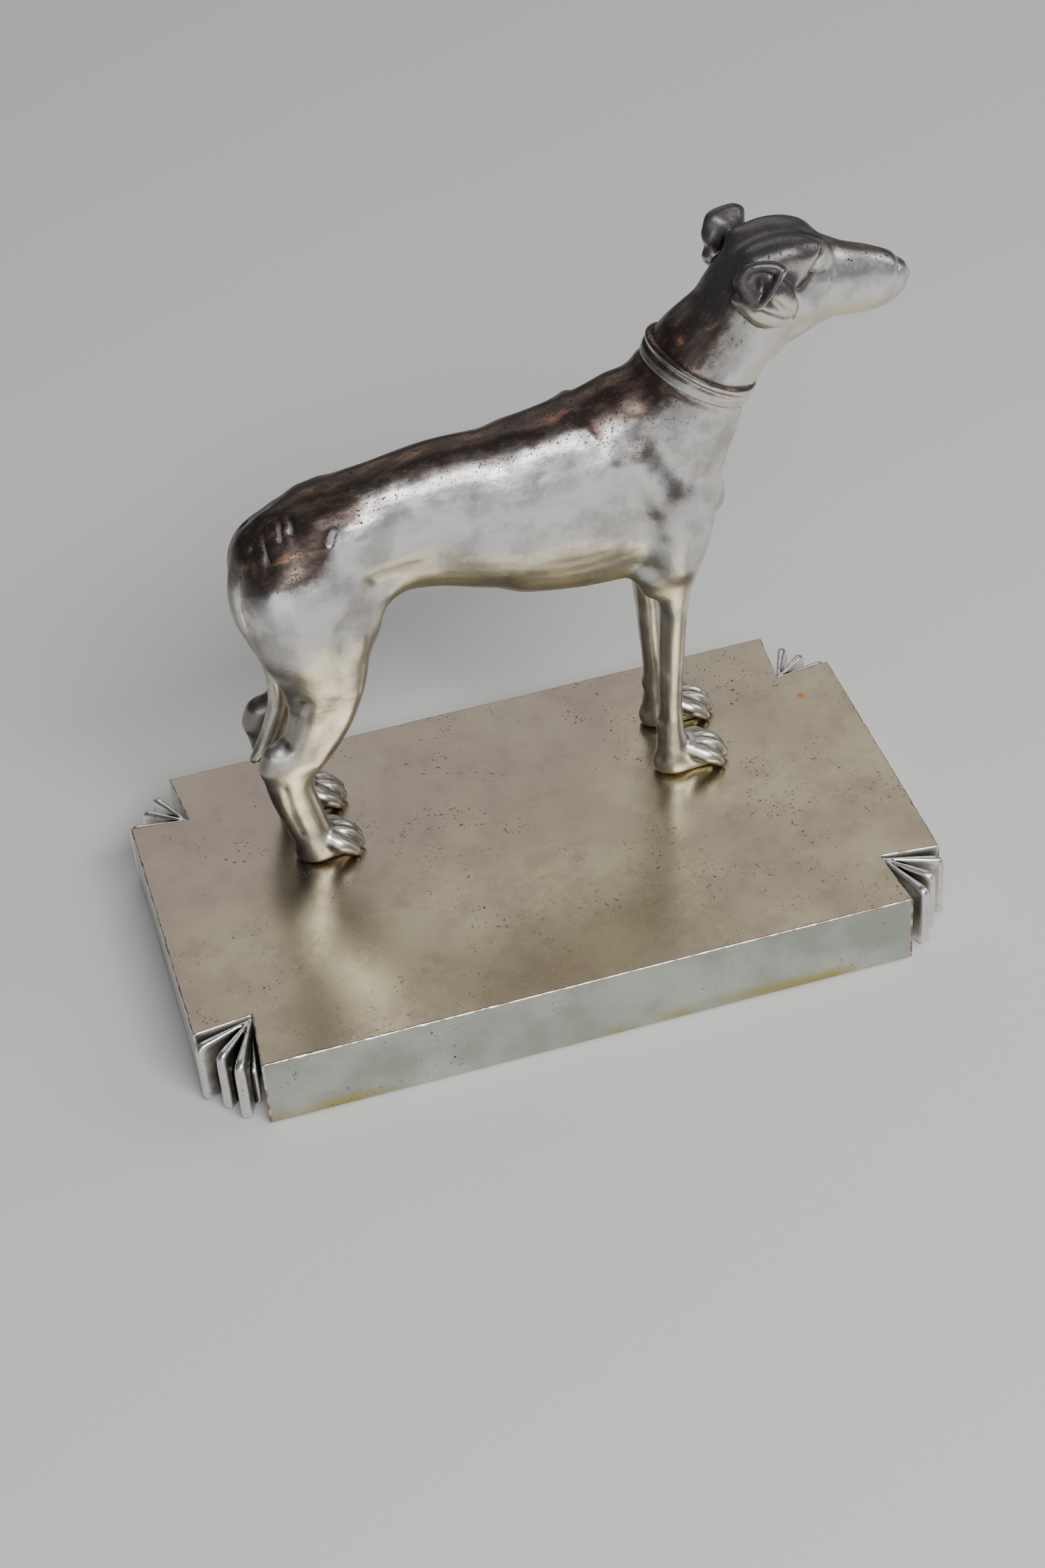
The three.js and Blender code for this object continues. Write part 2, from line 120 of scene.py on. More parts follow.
def loft(stations, sides=40, per_span=8):
    """Vertices and triangles of elliptical sections [x, y, z, half width, half depth]."""
    rows = catmull_rom(stations, per_span)
    centres = rows[:, :3]
    along = np.gradient(centres, axis=0)
    along /= np.linalg.norm(along, axis=1, keepdims=True)
    across = np.array([0.0, 1.0, 0.0]) - along * along[:, 1:2]
    across /= np.linalg.norm(across, axis=1, keepdims=True)
    up = np.cross(along, across)
    angle = np.arange(sides) * 2 * math.pi / sides
    wide = np.maximum(rows[:, 3], 0.2)[:, None, None]
    deep = np.maximum(rows[:, 4], 0.2)[:, None, None]
    rings = (centres[:, None]
             + across[:, None] * wide * np.cos(angle)[None, :, None]
             + up[:, None] * deep * np.sin(angle)[None, :, None])
    count = len(rows)
    vertices = np.vstack([rings.reshape(-1, 3), centres[:1], centres[-1:]])
    j = np.arange(sides)
    following = (j + 1) % sides
    triangles = []
    for i in range(count - 1):
        a, b = i * sides + j, i * sides + following
        triangles += [np.stack([a, b, b + sides], 1), np.stack([a, b + sides, a + sides], 1)]
    first, last = count * sides, count * sides + 1
    end = (count - 1) * sides
    triangles.append(np.stack([np.full(sides, first), following, j], 1))
    triangles.append(np.stack([np.full(sides, last), end + j, end + following], 1))
    return vertices, np.vstack(triangles)


def smooth_min(a, b, blend):
    if blend <= 0:
        return np.minimum(a, b)
    share = np.clip(0.5 + 0.5 * (b - a) / blend, 0, 1)
    return a * share + b * (1 - share) - blend * share * (1 - share)


def smooth_max(a, b, blend):
    return -smooth_min(-a, -b, blend)


class Field:
    """Distances to a surface, negative inside it, on a regular grid."""

    def __init__(self, low, high, voxel):
        self.voxel = voxel
        self.start = np.floor(np.array(low) / voxel).astype(int)
        shape = np.ceil(np.array(high) / voxel).astype(int) - self.start + 1
        self.axes = [(self.start[i] + np.arange(shape[i])) * voxel for i in range(3)]
        self.values = np.full(tuple(shape), BAND * voxel, np.float32)
        self.transform = openvdb.createLinearTransform(voxelSize=voxel)

    def add_mesh(self, vertices, triangles, blend=0.0):
        grid = openvdb.FloatGrid.createLevelSetFromPolygons(
            np.ascontiguousarray(vertices, np.float32),
            triangles=np.ascontiguousarray(triangles, np.uint32),
            transform=self.transform, halfWidth=float(BAND))
        other = np.zeros_like(self.values)
        grid.copyToArray(other, ijk=tuple(int(i) for i in self.start))
        self.values = smooth_min(self.values, other, blend).astype(np.float32)

    def block(self, points, reach):
        """The part of the grid within reach of some points: its slices and coordinates."""
        points = np.atleast_2d(points)
        slices, coordinates = [], []
        for i, axis in enumerate(self.axes):
            low = int(np.searchsorted(axis, points[:, i].min() - reach))
            high = int(np.searchsorted(axis, points[:, i].max() + reach)) + 1
            slices.append(slice(low, high))
            coordinates.append(axis[low:high])
        return tuple(slices), np.meshgrid(*coordinates, indexing="ij", sparse=True)

    @staticmethod
    def to_line(coordinates, points):
        """For each grid point, the distance to each stretch of a line and the place on it."""
        for a, b in zip(points, points[1:]):
            span = b - a
            length = max(float(span @ span), 1e-9)
            offsets = [c - a[i] for i, c in enumerate(coordinates)]
            t = np.clip(sum(o * s for o, s in zip(offsets, span)) / length, 0, 1)
            yield np.sqrt(sum((o - t * s) ** 2 for o, s in zip(offsets, span))), t

    def chain(self, balls, blend=0.5, cut=False):
        """Joins on a line of balls [x, y, z, radius] as one rounded body, or cuts it away."""
        balls = catmull_rom(balls, 4) if len(balls) > 2 else np.array(balls, float)
        points, radii = balls[:, :3], balls[:, 3]
        where, coordinates = self.block(points, radii.max() + blend + 2)
        body = None
        for i, (distance, t) in enumerate(self.to_line(coordinates, points)):
            one = distance - (radii[i] * (1 - t) + radii[i + 1] * t)
            body = one if body is None else np.minimum(body, one)
        old = self.values[where]
        joined = smooth_max(old, -body, blend) if cut else smooth_min(old, body, blend)
        self.values[where] = joined

    def stroke(self, points, width, depth):
        """Presses a soft groove along a line, or raises a ridge where depth is negative."""
        points = np.array(points, float)
        where, coordinates = self.block(points, 2.6 * width)
        nearest = np.min([d for d, _ in self.to_line(coordinates, points)], axis=0)
        self.values[where] += depth * np.exp(-(nearest / width) ** 2)

    def dent(self, centre, radii, depth):
        """Presses a soft hollow, or raises a bump where depth is negative."""
        centre, radii = np.array(centre, float), np.array(radii, float)
        where, coordinates = self.block(centre, 2.4 * radii.max())
        square = sum(((c - centre[i]) / radii[i]) ** 2 for i, c in enumerate(coordinates))
        self.values[where] += depth * np.exp(-square)

    def cut_below(self, height):
        self.values = np.maximum(self.values, (height - self.axes[2])[None, None, :])

    def side_point(self, x, z, side):
        """The outermost point of the surface at x and z, on one side of the dog."""
        i, k = (int(np.clip(round(v / self.voxel) - self.start[a], 0, self.values.shape[a] - 1))
                for v, a in ((x, 0), (z, 2)))
        inside = np.flatnonzero(self.values[i, :, k] < 0)
        if len(inside) == 0:
            return np.array([x, 0.0, z])
        y = self.axes[1][inside[0] if side < 0 else inside[-1]]
        return np.array([x, y, z])

    def side_stroke(self, line, side, width, depth):
        """A stroke along the surface of one side, drawn through points [x, z]."""
        self.stroke([self.side_point(x, z, side) for x, z in line], width, depth)

    def blurred(self, passes):
        values = self.values
        for _ in range(passes):
            for axis in range(3):
                padded = np.pad(values, [(1, 1) if a == axis else (0, 0) for a in range(3)], "edge")
                count = values.shape[axis]
                left, right = (np.take(padded, range(s, s + count), axis) for s in (0, 2))
                values = (left + 2 * values + right) / 4
        return values

    def sample(self, array, points):
        """Values of an array of the same grid at points, by linear interpolation."""
        place = points / self.voxel - self.start
        place = np.clip(place, 0, np.array(array.shape) - 1.001)
        corner = place.astype(int)
        share = place - corner
        total = np.zeros(len(points))
        for step in product((0, 1), repeat=3):
            weight = np.prod(np.where(step, share, 1 - share), axis=1)
            total += weight * array[tuple((corner + step).T)]
        return total

    def surface(self):
        """Vertices and quads of the surface."""
        grid = openvdb.FloatGrid(float(BAND * self.voxel))
        grid.transform = self.transform
        grid.copyFromArray(np.ascontiguousarray(self.values, np.float32),
                           ijk=tuple(int(i) for i in self.start))
        points, quads = grid.convertToQuads(isovalue=0.0)
        return np.array(points, float), np.array(quads, int)


# ---- The dog's shape ----

COLLAR_CENTRE = (50.0, 101.6)
COLLAR_TILT = math.radians(58.8)
COLLAR_HEIGHT = 4.8
COLLAR_RADIUS = 12.75
BEAD_CENTRE, BEAD_RADIUS = 12.25, 0.95     # the bead's distance from the neck's axis, and its size
NECK_RADIUS = 12.0
LEG_Y = 8.5


def neck_point(along, forward=0.0, y=0.0):
    """A point on the neck's axis, measured from the collar's centre, or beside the axis."""
    cos, sin = math.cos(COLLAR_TILT), math.sin(COLLAR_TILT)
    return [COLLAR_CENTRE[0] + along * cos + forward * sin, y,
            COLLAR_CENTRE[1] + along * sin - forward * cos]


def neck_ring(along, radius, count=32):
    """A closed line of points round the neck."""
    ring = []
    for i in range(count + 1):
        angle = 2 * math.pi * i / count
        ring.append(neck_point(along, radius * math.cos(angle), radius * math.sin(angle)))
    return ring


TRUNK = [
    [-53.6, 0, 74, 3, 4],
    [-50, 0, 74.6, 9, 10.4],
    [-42, 0, 75, 12, 13.8],
    [-32, 0, 77.5, 11.5, 14.8],
    [-21, 0, 78.6, 11, 15.8],
    [-9, 0, 79, 11.8, 17.4],
    [3, 0, 77.3, 12.8, 19.2],
    [13, 0, 76.2, 13.8, 21],
    [23, 0, 76.8, 14.2, 22.4],
    [32, 0, 79.8, 14, 22.6],
    [37.8, 0, 84.6, 13, 20.4],
    [44.2, 0, 92, 12.6, 15.4],
    [*neck_point(-3.4), 12.7, 12.8],
    [*neck_point(0), NECK_RADIUS, NECK_RADIUS],
    [*neck_point(2), NECK_RADIUS - 0.6, NECK_RADIUS - 0.6],
]
KEEL = [[10, 0, 64.2, 8.6], [22, 0, 63.6, 9.7], [32, 0, 63.8, 10.6]]
WITHERS = [[10, 0, 87.6, 9.5], [20, 0, 88.8, 9.7], [27, 0, 90.8, 9.7], [33, 0, 93.4, 9.6]]
BREASTBONE = [[46, 0, 67.6, 6], [50.6, 0, 68.2, 4.3]]
FORELEG = [
    [37, 5, 84, 4, 8],
    [39, 8, 72, 6.4, 11],
    [39.2, 8.5, 62, 6, 9.2],
    [39.6, 8.5, 54, 4.8, 5.8],
    [40, 8.5, 48, 3.8, 3.6],
    [39.3, 8.5, 38, 3.4, 3.1],
    [38.6, 8.5, 26, 3.1, 2.8],
    [38.3, 8.5, 18, 3, 2.7],
    [38.2, 8.5, 10, 3.3, 3.2],
    [38.4, 8.5, 4, 4.2, 4],
    [38.6, 8.5, 1, 4.2, 4],
]
HIND_LEG = [
    [-38, 4, 83, 3, 6],
    [-40.4, 7.2, 74, 7.6, 13],
    [-40.9, 8.4, 64, 7.8, 13],
    [-39.8, 8.6, 56, 7, 11.7],
    [-39.6, 8.6, 48, 6, 9.5],
    [-40.9, 8.5, 40, 5, 7.6],
    [-44.6, 8.5, 32.4, 4.4, 6.4],
    [-49.2, 8.5, 27, 4, 6.2],
    [-50, 8.5, 20.6, 3.8, 5.2],
    [-48.2, 8.5, 12, 3.8, 4.8],
    [-46.4, 8.5, 4.4, 4.3, 4.6],
    [-45.8, 8.5, 1, 4.3, 4.6],
]
TAIL = [
    [-41, 0, 86.5, 3, 3],
    [-45.6, 0, 85.6, 3, 3],
    [-49.4, 0, 82, 2.9, 2.9],
    [-52, 0, 77, 2.8, 2.8],
    [-53.4, 0, 70.6, 2.7, 2.7],
    [-53.2, 0, 64, 2.6, 2.6],
    [-51.2, 0, 57, 2.4, 2.4],
    [-49, 0, 50, 2.3, 2.3],
    [-48.8, 0, 41, 2.1, 2.1],
    [-51, 0, 33, 2, 2],
    [-54.4, 0, 26.4, 1.6, 1.6],
    [-56.8, 0, 23.6, 0.9, 0.9],
]
# The left fore paw stands this far in front of the right one, and its leg shifts by height.
FAR_FOREPAW_SHIFT = 2.2
FAR_FORELEG_LEAN = [(0, 2.2), (12, 2.2), (30, 0.6), (42, -0.6), (50, -1.4), (62, 0)]
PAW_TOES = (-3.9, -1.35, 1.35, 3.9)    # each toe's place across the paw


def mirrored(rows, side):
    return [[x, side * y, z, *sizes] for x, y, z, *sizes in rows]


def paw_shift(side):
    return FAR_FOREPAW_SHIFT if side > 0 else 0


def foreleg_rows(side):
    """The foreleg's sections; the left leg runs a little further forward to its paw."""
    rows = mirrored(FORELEG, side)
    if side < 0:
        return rows
    heights, shifts = zip(*FAR_FORELEG_LEAN)
    return [[x + float(np.interp(z, heights, shifts)), y, z, *sizes] for x, y, z, *sizes in rows]


def sculpt_paw(field, heel_x, toe_x, side):
    """Four knuckled toes in front of a broad pad, from the heel to the toe tips."""
    centre = side * LEG_Y
    length = toe_x - heel_x
    field.chain([
        [heel_x + 2.6, centre, 2.2, 2.4],
        [heel_x + 0.42 * length, centre, 2.8, 3.6],
        [heel_x + 0.7 * length, centre, 2.4, 3.4],
    ], blend=1.6)
    for spread in PAW_TOES:
        outer = abs(spread) > 2
        tip = toe_x - (1.7 if outer else 0)
        y = centre + spread
        field.chain([
            [heel_x + 0.46 * length, centre + 0.55 * spread, 6, 1.9],
            [tip - 4.6, y, 4.6 if outer else 5.1, 1.9],
            [tip - 2, y, 2.7, 1.6],
            [tip - 1, y, 1.3, 1.1],
        ], blend=0.8)
        field.chain([[tip - 1.6, y, 1.9, 0.7], [tip - 0.2, y, 0.9, 0.35]], blend=0.2)
    for gap in (-2.65, 0, 2.65):
        y = centre + gap
        field.stroke([
            [heel_x + 0.6 * length, centre + 0.75 * gap, 7],
            [toe_x - 4.2, y, 6.2],
            [toe_x - 1.4, y, 3],
            [toe_x, y, 0],
        ], 0.7, 0.6)


def sculpt_leg_details(field, side):
    def draw(line, width, depth):
        field.side_stroke(line, side, width, depth)

    # shoulder blade, upper arm and elbow
    draw([(22.6, 97), (24.4, 95.2), (25.8, 92.8), (26.8, 90.4)], 1.6, -0.45)
    draw([(28.6, 84), (31.6, 79), (33.6, 73.9), (34, 67.5), (33, 62.2)], 3.6, 1.4)
    draw([(35, 93.4), (38, 89.4), (41, 85.4), (43, 81)], 3.4, 0.8)
    draw([(32.5, 89), (35.5, 84.4), (38.6, 79)], 3.8, -1.1)
    draw([(38.5, 77), (40.5, 69), (40.5, 60)], 3.6, -1)
    draw([(50.4, 88), (49.4, 82), (48.6, 77), (47.2, 70.2), (46, 62)], 1.5, 0.3)
    draw([(45.6, 80), (45.4, 72), (44.6, 64)], 2, 0.35)
    field.chain([[34.6, side * 8.9, 57, 3], [35, side * 8.8, 53.6, 2.2]], blend=3)
    # tendons behind the foreleg and the pad behind its pastern
    draw([(37.4, 46), (37, 36), (37, 30)], 0.9, 0.3)
    pad_x = 36.2 + paw_shift(side)
    field.chain([[pad_x, side * LEG_Y, 13.4, 1.2], [pad_x - 0.3, side * LEG_Y, 11.8, 1.1]], blend=1.4)
    # haunch, fold of the flank, and thigh
    field.dent(field.side_point(-27.4, 85.6, side), (4.6, 4.6, 4.6), -1.1)
    field.chain([[-24, side * 6, 68.8, 2.6], [-27, side * 7.2, 65.8, 3],
                 [-29.6, side * 8, 62, 3.6]], blend=6)
    draw([(-26, 72), (-20, 73), (-13, 75.6)], 3.4, 0.6)
    draw([(-34.4, 66), (-35.4, 59.1), (-36.8, 51.8)], 3, 0.5)
    draw([(-30.4, 62), (-31, 55), (-33, 47)], 2.2, -0.5)
    draw([(-49, 76), (-46.5, 66), (-45.5, 57)], 3.6, -0.6)
    draw([(-42, 84), (-40, 78), (-39.6, 70)], 3.4, 0.4)
    # gaskin, hock and metatarsus
    draw([(-45.6, 47), (-47.4, 40), (-50, 34.6)], 1.7, 0.6)
    draw([(-32.8, 45.6), (-36.6, 38.3), (-41, 32), (-43.8, 28)], 1.4, -0.45)
    draw([(-38.5, 45.6), (-42.2, 38), (-46.2, 32)], 2.4, 0.5)
    field.chain([[-53, side * LEG_Y, 31, 2], [-53.8, side * LEG_Y, 28, 2.3]], blend=3)
    draw([(-51.8, 24), (-50.9, 16), (-49.4, 9.5)], 1, 0.4)


CHISEL_NICKS = [                       # short cuts on the right side of the rump
    ([(-47, 87.4), (-47.8, 81.4)], 0.9),
    ([(-40.9, 89.3), (-41.9, 87.2)], 0.7),
    ([(-43.4, 88.4), (-44.2, 85.8)], 0.7),
    ([(-33.5, 87), (-34.6, 84.6)], 0.9),
]


def sculpt_body(voxel):
    field = Field((-63, -19, -1.5), (64, 19, 116), voxel)
    field.add_mesh(*loft(TRUNK))
    field.chain(KEEL, blend=3)
    field.chain(BREASTBONE, blend=6)
    field.chain(WITHERS, blend=2.5)
    for side in (-1, 1):
        field.add_mesh(*loft(mirrored(HIND_LEG, side)), blend=3.2)
        field.add_mesh(*loft(foreleg_rows(side)), blend=3)
    field.stroke([[-30, 0, 93.5], [-10, 0, 97], [8, 0, 98], [20, 0, 100]], 2.2, 0.3)
    for side in (-1, 1):
        field.chain([[-36, side * 5.2, 85.8, 3.4], [-33, side * 5.6, 86.4, 3]], blend=3)
        sculpt_leg_details(field, side)
        sculpt_paw(field, 33.4 + paw_shift(side), 51.4 + paw_shift(side), side)
        sculpt_paw(field, -51.4, -35.2, side)
    field.stroke(neck_ring(-COLLAR_HEIGHT / 2 - 0.25, 13), 0.5, 0.7)
    for line, depth in CHISEL_NICKS:
        field.side_stroke(line, -1, 0.6, depth)
    field.add_mesh(*loft(TAIL, per_span=10), blend=0.9)
    for side in (-1, 1):
        field.stroke([[-49.4, side * 4.3, 83.4], [-52.2, side * 3.9, 77.4],
                      [-53.2, side * 3.7, 70], [-52.4, side * 3.5, 64]], 1.1, 1.0)
    field.cut_below(0.02)
    return field


HEAD = [
    [*neck_point(-2), NECK_RADIUS - 0.6, NECK_RADIUS - 0.6],
    [*neck_point(1), NECK_RADIUS - 0.2, NECK_RADIUS],
    [*neck_point(5, 0.8), 11, 12.2],
    [58.4, 0, 110.9, 10.2, 10.8],
    [62.4, 0, 116.2, 10.2, 10.8],
    [67, 0, 119.2, 10, 11.4],
    [73, 0, 118, 8.6, 10.4],
    [80, 0, 115.9, 6.8, 8.6],
    [87, 0, 114.2, 5.7, 7.6],
    [92.4, 0, 113.2, 4.7, 6],
    [96.2, 0, 112.6, 2.9, 3.4],
]
THROAT = [[61, 0, 108, 8.2], [67.2, 0, 109, 6], [72, 0, 110, 5.2], [76, 0, 111.6, 4.6]]


def sculpt_ear(field, side):
    """A folded ear: a cup, a fold along it, and a flap falling forward. The left cup is closed."""
    def line(points):
        return mirrored(points, side)

    field.chain(line([[57, 9.6, 121.6, 2.2], [59.6, 10.4, 118.6, 2.3], [63, 10.6, 116.6, 2.2],
                      [66.2, 10.2, 115.8, 1.8]]), blend=1)
    field.chain(line([[57.6, 10, 125.8, 2.4], [59.2, 10.8, 122.6, 2.6], [62.2, 11.2, 120, 2.5],
                      [65.4, 11.2, 118, 1.9]]), blend=1)
    field.chain(line([[60.4, 10.4, 126.8, 2.7], [63, 11, 124.6, 2.8], [65.6, 11.4, 121.2, 2.5],
                      [66.6, 11.2, 118.4, 1.8]]), blend=0.8)
    field.chain(line([[56.2, 10.6, 126.8, 1.2], [57.4, 11, 129.2, 1.2], [60, 11.6, 130.1, 1.1],
                      [62.8, 12.2, 129.8, 1.2], [64.4, 12.8, 128.8, 1.2]]), blend=0.8)
    if side < 0:
        field.chain(line([[58.8, 15, 130, 1.6], [60.2, 13.6, 127.6, 1.6], [60.4, 13, 125.8, 1]]),
                    blend=0.6, cut=True)
        field.chain(line([[63, 14.4, 129.4, 0.9], [61.6, 13.8, 127, 0.8]]), blend=0.5, cut=True)
        field.chain(line([[64.6, 13.2, 128.8, 0.9], [63, 13.9, 126.4, 0.8], [61.2, 13.9, 123.8, 0.8],
                          [59.4, 13.2, 121.4, 0.8]]), blend=0.6)
    else:
        field.chain(line([[59, 11, 128, 2.6], [62.6, 11.8, 127.8, 2.6]]), blend=1.2)
    field.stroke(line([[64.2, 14, 126.2], [62.4, 14.2, 123.6], [61, 13.8, 121.4]]), 0.7, 0.3)
    field.stroke(line([[59.6, 13.4, 120.6], [62.4, 13.6, 118.6], [65.2, 13, 116.9], [67.4, 12, 116.4]]),
                 0.5, 0.5)
    field.stroke(line([[66, 12, 126.4], [68.2, 12, 123], [69, 11.4, 120.4], [68.6, 10.8, 117.4],
                       [67.6, 10.4, 115]]), 0.7, 0.6)
    field.stroke(line([[55, 11.6, 129.4], [54.4, 11.6, 125], [55, 11.2, 120.6], [57.6, 10.8, 116.8]]),
                 1.1, 0.8)


def sculpt_face(field, side):
    s = side
    field.chain([[62, s * 4.4, 126.6, 3.3], [68, s * 4.8, 127.2, 3.4], [73.4, s * 4.6, 126.2, 3.1],
                 [75.8, s * 4.4, 124.4, 2]], blend=2.2)
    field.chain([[66, s * 6.8, 119.6, 4], [70.4, s * 6.4, 116, 3.8]], blend=3)
    field.dent([76, s * 7.4, 123.4], (2.4, 2, 2.2), 0.9)
    field.chain([[74.8, s * 5.2, 124, 2.1], [75.8, s * 4.9, 124.2, 2]], blend=0.3)
    field.stroke([[72.7, s * 7.8, 124], [74, s * 7.2, 126], [75.6, s * 6, 127.4]], 0.5, 0.7)
    field.stroke([[72.7, s * 7.8, 123.8], [75, s * 7.5, 122.8], [77.2, s * 6.4, 124.2]], 0.45, 0.55)
    field.dent([71.4, s * 7.4, 126], (2.2, 1.6, 2.4), -0.6)
    field.stroke([[72.4, s * 8.2, 123.4], [70.4, s * 8.9, 122.4], [69.4, s * 9.4, 122]], 0.7, 0.4)
    field.stroke([[77.6, s * 6, 125.4], [78.2, s * 6.8, 121.4], [77.2, s * 7.8, 118.4]], 0.8, 0.35)
    field.stroke([[96.6, s * 1.6, 110.2], [92.4, s * 4.2, 109.6], [87, s * 5.6, 109.2],
                  [80.4, s * 6.6, 109.8]], 0.5, 0.3)
    field.dent([85.6, s * 6.4, 115], (6, 2.6, 4), 0.35)
    field.dent([96.9, s * 1.9, 113.9], (0.7, 0.8, 0.6), 0.8)
    field.stroke([[93.8, s * 3.8, 117.2], [93.6, s * 4.6, 114.4], [94, s * 4.2, 111]], 0.6, 0.3)
    field.side_stroke([(53.4, 114.5), (50.4, 111.1), (49, 107.6)], side, 1.6, -0.35)
    sculpt_ear(field, side)


def sculpt_head(voxel):
    field = Field((40, -19, 92), (102, 19, 136), voxel)
    field.add_mesh(*loft(HEAD))
    field.chain(THROAT, blend=2)
    for side in (-1, 1):
        sculpt_face(field, side)
    field.stroke([[58, 0, 130], [66, 0, 130.6], [73, 0, 128.8], [78, 0, 125.6]], 1.6, 0.8)
    field.stroke([[79, 0, 125.2], [88, 0, 121.6], [93, 0, 119.6]], 1.6, -0.25)
    field.chain([[94.6, 0, 114.4, 2.5], [95.6, 0, 113.6, 2.2]], blend=0.9)
    field.stroke([[94, 2.6, 116.8], [94.4, 0, 117.4], [94, -2.6, 116.8]], 0.5, 0.35)
    field.stroke([[98, 0, 113], [97.4, 0, 110.6]], 0.45, 0.5)
    return field


def collar_frame(field):
    """Each grid point's place along the neck's axis, and its distance out from the axis."""
    x = field.axes[0][:, None, None] - COLLAR_CENTRE[0]
    y = field.axes[1][None, :, None]
    z = field.axes[2][None, None, :] - COLLAR_CENTRE[1]
    cos, sin = math.cos(COLLAR_TILT), math.sin(COLLAR_TILT)
    return x * cos + z * sin, np.sqrt((x * sin - z * cos) ** 2 + y ** 2)


def sculpt_collar(voxel):
    """A band with a beaded upper edge and a groove under the bead."""
    field = Field((34, -15, 88), (67, 15, 116), voxel)
    along, out = collar_frame(field)
    half = COLLAR_HEIGHT / 2
    inner = NECK_RADIUS - 0.3
    outer = COLLAR_RADIUS + 0.12 * np.cos(along * 1.6)
    outer = outer - 0.35 * np.exp(-((along - half + 1.8) / 0.28) ** 2)
    bead = np.sqrt((along - half + 0.65) ** 2 + (out - BEAD_CENTRE) ** 2) - BEAD_RADIUS
    wall = np.abs(out - (outer + inner) / 2) - (outer - inner) / 2
    band = smooth_max(wall, np.abs(along) - half, 0.5)
    field.values = smooth_min(band, bead, 0.2).astype(np.float32)
    field.stroke([neck_point(-1.9, 8.6, -9.6), neck_point(-1.5, 9.4, -9)], 0.5, -0.5)
    return field


def sculpt_collar_loop(voxel):
    """The small half ring that stands on the collar at the throat."""
    field = Field((54, -3, 90), (70, 3, 104), voxel)
    arc = []
    for degrees in range(-100, 101, 20):
        angle = math.radians(degrees)
        point = neck_point(1.4 + 1.9 * math.sin(angle), 12.2 + 1.9 * math.cos(angle))
        arc.append([*point, 0.7])
    field.chain(arc, blend=0)
    return field


# ---- Meshes ----

def placed(name, mesh, material):
    """A smooth object of a mesh, in the scene."""
    mesh.shade_smooth()
    mesh.materials.append(material)
    return add_object(name, mesh)


def mesh_object(name, vertices, faces, material):
    """A new object from points in millimetres."""
    mesh = bpy.data.meshes.new(name)
    mesh.from_pydata([tuple(v) for v in np.asarray(vertices) * MM], [], [tuple(f) for f in faces])
    mesh.validate()
    mesh.update()
    return placed(name, mesh, material)


def fast_mesh(name, vertices, quads, material):
    """The same for a large mesh of quads."""
    mesh = bpy.data.meshes.new(name)
    mesh.vertices.add(len(vertices))
    mesh.vertices.foreach_set("co", (vertices * MM).astype(np.float32).ravel())
    mesh.loops.add(quads.size)
    mesh.loops.foreach_set("vertex_index", quads.astype(np.int32).ravel())
    mesh.polygons.add(len(quads))
    mesh.polygons.foreach_set("loop_start", np.arange(0, quads.size, 4, dtype=np.int32))
    mesh.update(calc_edges=True)
    mesh.validate()
    return placed(name, mesh, material)


def largest_part(vertices, quads):
    """Keeps only the biggest connected surface, so that no speck is left beside it."""
    label = np.arange(len(vertices))
    while True:
        lowest = label[quads].min(axis=1)
        fresh = label.copy()
        np.minimum.at(fresh, quads.ravel(), np.repeat(lowest, 4))
        fresh = fresh[fresh]
        if (fresh == label).all():
            break
        label = fresh
    names, counts = np.unique(label, return_counts=True)
    kept = label == names[counts.argmax()]
    number = np.cumsum(kept) - 1
    return vertices[kept], number[quads[kept[quads].all(axis=1)]]


def skin(field, smoothing):
    """The surface of a field, and how much each of its vertices stands proud of its surroundings."""
    field.values = field.blurred(smoothing)
    vertices, quads = largest_part(*field.surface())
    relief = field.sample(field.blurred(3) - field.values, vertices) / field.voxel
    return vertices, quads, relief


def mark_relief(piece, relief):
    """Marks a piece's hollows and crests, from 0 to 1, for its finish."""
    for label, values in (("hollow", -relief), ("crest", relief)):
        attribute = piece.data.attributes.new(label, "FLOAT", "POINT")
        attribute.data.foreach_set("value", np.clip(values * RELIEF_GAIN, 0, 1).astype(np.float32))


def cast_piece(name, field, material, nodes, smoothing=1):
    """The surface of a field in the dog's frame, as a piece of the object."""
    vertices, quads, relief = skin(field, smoothing)
    piece = fast_mesh(name, vertices + np.array(DOG_ORIGIN) / MM, quads, material)
    mark_relief(piece, relief)
    return assemble(piece, "worn_silver_plate", *nodes)


def assemble(piece, slot, *nodes):
    """Puts a piece in the object in place of CAD nodes, hiding them; the slot is not used."""
    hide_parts(*nodes)
    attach(piece, "root")
    return piece


# ---- The base's shape ----

HALF_LENGTH, HALF_WIDTH = SHELL_HIGH.x / MM, SHELL_HIGH.y / MM
TOP = BASE_TOP / MM
RIM = SHELL_LOW.z / MM
NOTCH_X, NOTCH_Y = 13.3, 15.5          # the corner notches' size along the base and across it
NOTCH_LEAN = 1.5                       # their walls lean in by this much towards the mouth
WALL = 2.6
EDGE_WEAR = 0.42                       # the top edge is worn back by this much
LOOP_STEP = 0.8                        # the spacing of the points round the base
CORNER_FADE = 1.6                      # its unevenness dies out this far from a corner
POST_RADIUS, SCREW_HOLE, STUD_HOLE = 3.4, 1.4, 1.8
FAN_RIBS = [(14.2, 13.5), (41.7, 12.1), (65.6, 13.6)]       # each rib's degrees and its reach


